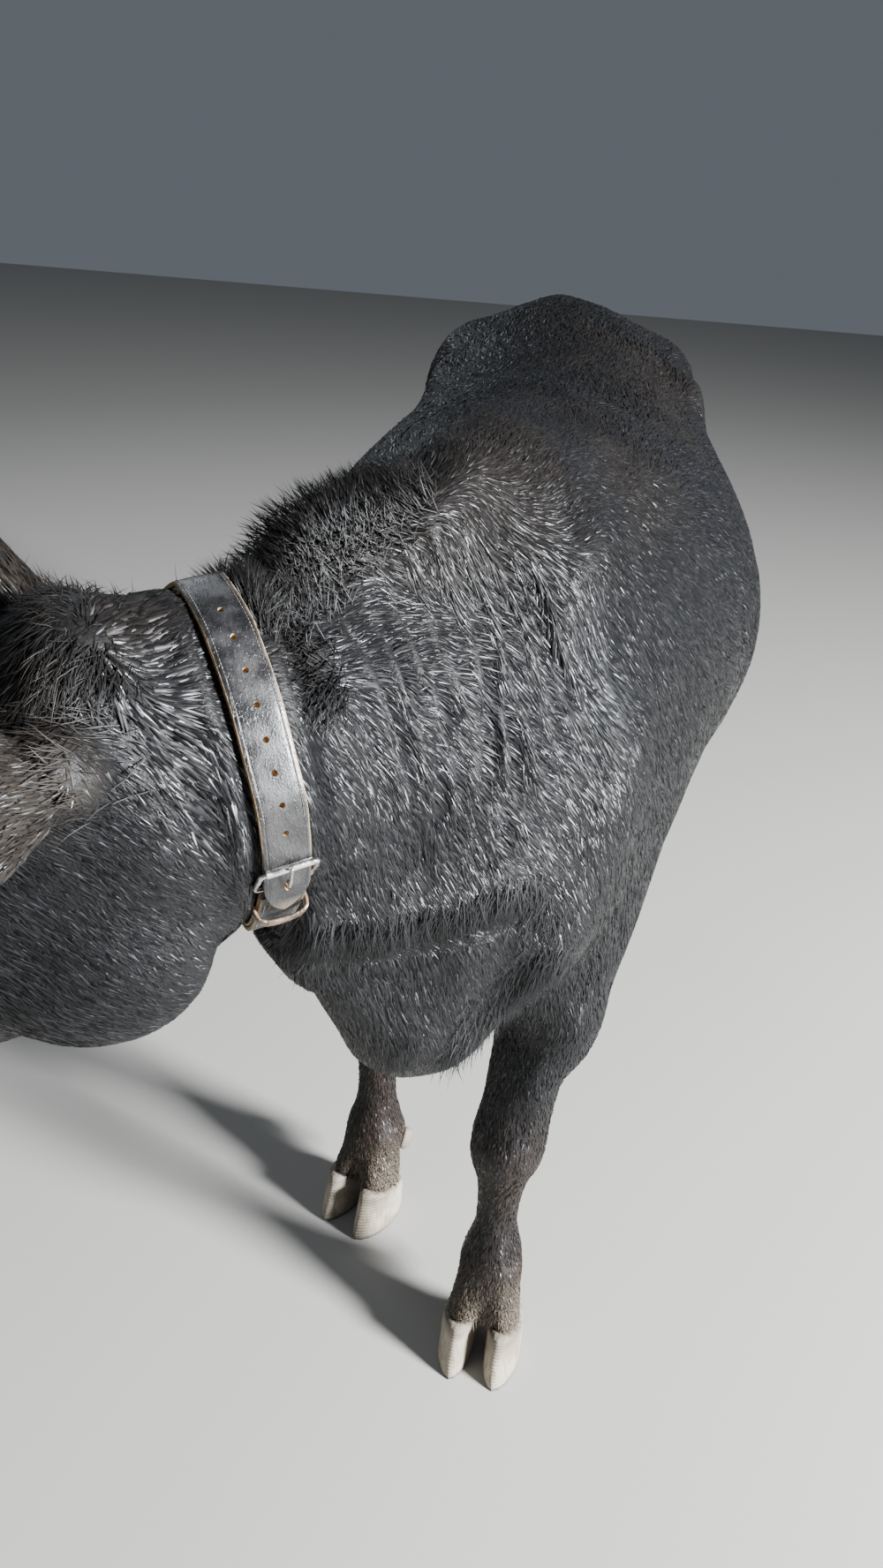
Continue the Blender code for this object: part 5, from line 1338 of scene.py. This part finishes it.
# Stitches: a row of short pale waxed stitches along each edge of the strap.
STITCH_STEP, STITCH_EDGE = 0.19, 0.80
STITCH_FROM, STITCH_TO = 0.8, 50.4
STITCH_SIZE = (0.0016, 0.0004, 0.0004, 1)
thread, tree, shader = new_finish("waxed_thread")
soiled = noise_on(tree, object_places(tree), 130)
colour = blended(tree, ranged(tree, soiled, 0.35, 0.65), (0.045, 0.040, 0.035), (0.20, 0.175, 0.14))
coated(tree, shader, colour, ranged(tree, soiled, 0.3, 0.7, 0.5, 0.75))
stitch_bm = bmesh.new()
for k in range(int((STITCH_TO - STITCH_FROM) / STITCH_STEP)):
    spot = STITCH_FROM + STITCH_STEP * k
    above = (strap_at(spot, 0.1) - strap_at(spot, 0.0)).normalized()
    for edge in (-STITCH_EDGE, STITCH_EDGE):
        height, off = STRAP_FLAT + STRAP_THICK * 0.97, edge * STRAP_WIDE / 2
        here, on = (strap_at(s, height, off) for s in (spot, spot + 0.05))
        own = Matrix.Translation(here) @ set_on((on - here).normalized(), above) @ Matrix.Diagonal(STITCH_SIZE)
        bmesh.ops.create_uvsphere(stitch_bm, u_segments=6, v_segments=4, radius=1, matrix=own)
stitches = piece("strap_stitches", smooth(stitch_bm), thread)
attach(stitches, "root")


# Strap lining: a second layer of tan leather under the strap, whose raw edge shows beside it.
under = [(50.75 - 0.25 * k, STRAP_LIFT) for k in range(200)]
lining = piece("strap_lining", band(under, LINING_THICK * 0.88, STRAP_WIDE - 0.0004), raw_leather)
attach(lining, "root")
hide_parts("collar_lining")


# Buckle: a frame of round steel wire with a bright roller on its far bar, a tapered prong that is bent
# round the hinge bar, and a worn brown leather keeper below it.
ROD, PRONG, BAR_LONG = 0.0021, 0.0016, 2.6
FRAME_BEND = ((0.25, 0.15), (0.5, 0.45), (0.75, 0.8))
ROLLER_RADII = [0.0029, 0.0033, 0.0033, 0.0029]
KEEPER_PLACE, KEEPER_THICK = HINGE - 2.75, 0.0013
KEEPER_PROFILE = ((-0.40, -0.7), (-0.40, 0.7), (-0.34, 1), (0, 1.1), (0.34, 1), (0.40, 0.7), (0.40, -0.7),
                  (0.34, -1), (-0.34, -1))
steel, tree, shader = new_finish("worn_steel")
shader.inputs["Metallic"].default_value = 1.0
where = object_places(tree)
tarnish = noise_on(tree, where, 150, 5)
metal = blended(tree, ranged(tree, tarnish, 0.50, 0.72), (0.72, 0.71, 0.68), (0.30, 0.27, 0.23))
coated(tree, shader, metal, ranged(tree, tarnish, 0.35, 0.70, 0.20, 0.46))
relieved(tree, shader, noise_on(tree, where, 900, 2), 0.25, 0.0003)


def rounded(points, cut, closed, rounds=3):
    """A line of points with its corners rounded within the cut length."""
    for turn in range(rounds):
        made = []
        count = len(points)
        for k in range(count if closed else count - 1):
            a, b = points[k], points[(k + 1) % count]
            gap = (b - a).length
            share = min(0.25, cut / gap) if turn == 0 else 0.25
            if turn and gap > cut * 1.2:
                share = 0.02
            made += [a.lerp(b, share), a.lerp(b, 1 - share)]
        points = made if closed else [points[0], *made, points[-1]]
    return points


half = STRAP_WIDE / 2 + ROD + 0.0012
low = STRAP_LIFT + ROD + 0.0004
high = STRAP_FLAT + (STRAP_OVER - STRAP_FLAT) * 0.35 + STRAP_THICK + ROD + 0.0006
bend = [(BAR_LONG * share, low + (high - low) * rise) for share, rise in FRAME_BEND]
outline = [(0, low, -half), (0, low, half), *[(p, h, half + 0.001) for p, h in bend]]
outline += [(BAR_LONG, high, half), (BAR_LONG, high, -half)]
outline += [(p, h, -half - 0.001) for p, h in reversed(bend)]
line = rounded([strap_at(HINGE + p, h, a) for p, h, a in outline], 0.0045, True)
buckle = piece("buckle", swept(tube_rings(line, [ROD] * len(line), 14, True, loop_facing), True), steel)
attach(buckle, "root")
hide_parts("buckle_frame")
bar = [strap_at(HINGE + BAR_LONG, high, a) for a in (-0.0188, -0.0184, 0.0184, 0.0188)]
roller = piece("buckle_roller", swept(tube_rings(bar, ROLLER_RADII, 24)), steel)
roller.data.set_sharp_from_angle(angle=math.radians(30))
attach(roller, "root")

rest = low + ROD + PRONG + 0.0006
top = high + ROD + PRONG + 0.0006
prong_line = [(-0.05, rest), (0.4, rest - 0.0008), (0.68, rest - 0.0006), (0.86, rest + 0.0014),
              (1.06, top - 0.0020), (1.26, top - 0.0006), (1.9, top), (2.9, top + 0.0008)]
line = rounded([strap_at(HINGE + p, h) for p, h in prong_line], 0.004, False, 2)
radii = [PRONG * (1.12 - 0.42 * (k / (len(line) - 1)) ** 2) for k in range(len(line))]
prong = piece("buckle_tongue", swept(tube_rings(line, radii, 12, False, loop_facing)), steel)
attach(prong, "root")
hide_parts("buckle_prong")

edge, rise = STRAP_WIDE / 2 + 0.0022, STRAP_OVER + STRAP_THICK
arch = [(-edge, 0.0030), (-edge - 0.0006, rise * 0.6), (-edge + 0.002, rise + 0.003), (0, rise + 0.0055)]
arch += [(-across, height) for across, height in reversed(arch[:-1])]
arch = rounded([Vector((a, h, 0)) for a, h in arch], 0.005, False)
rings = []
for k, spot in enumerate(arch):
    before, after = arch[max(k - 1, 0)], arch[min(k + 1, len(arch) - 1)]
    out = Vector((before.y - after.y, after.x - before.x, 0)).normalized() * KEEPER_THICK
    ring = []
    for shift, lift in KEEPER_PROFILE:
        at = spot + out * lift
        ring.append(strap_at(KEEPER_PLACE + shift, at.y, at.x))
    rings.append(ring)
keeper = piece("keeper", swept(rings))
strap_marks(keeper, -9.0)
brown = worn.copy()
brown.name = "brown_leather"
tree = brown.node_tree
rubbed = noise_on(tree, object_places(tree), 120, 5)
tan = blended(tree, ranged(tree, rubbed, 0.35, 0.65), (0.045, 0.030, 0.022), (0.21, 0.14, 0.085))
tree.links.new(tan, tree.nodes["Principled BSDF"].inputs["Base Color"])
keeper.data.materials.append(brown)
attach(keeper, "root")
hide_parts("collar_keeper")
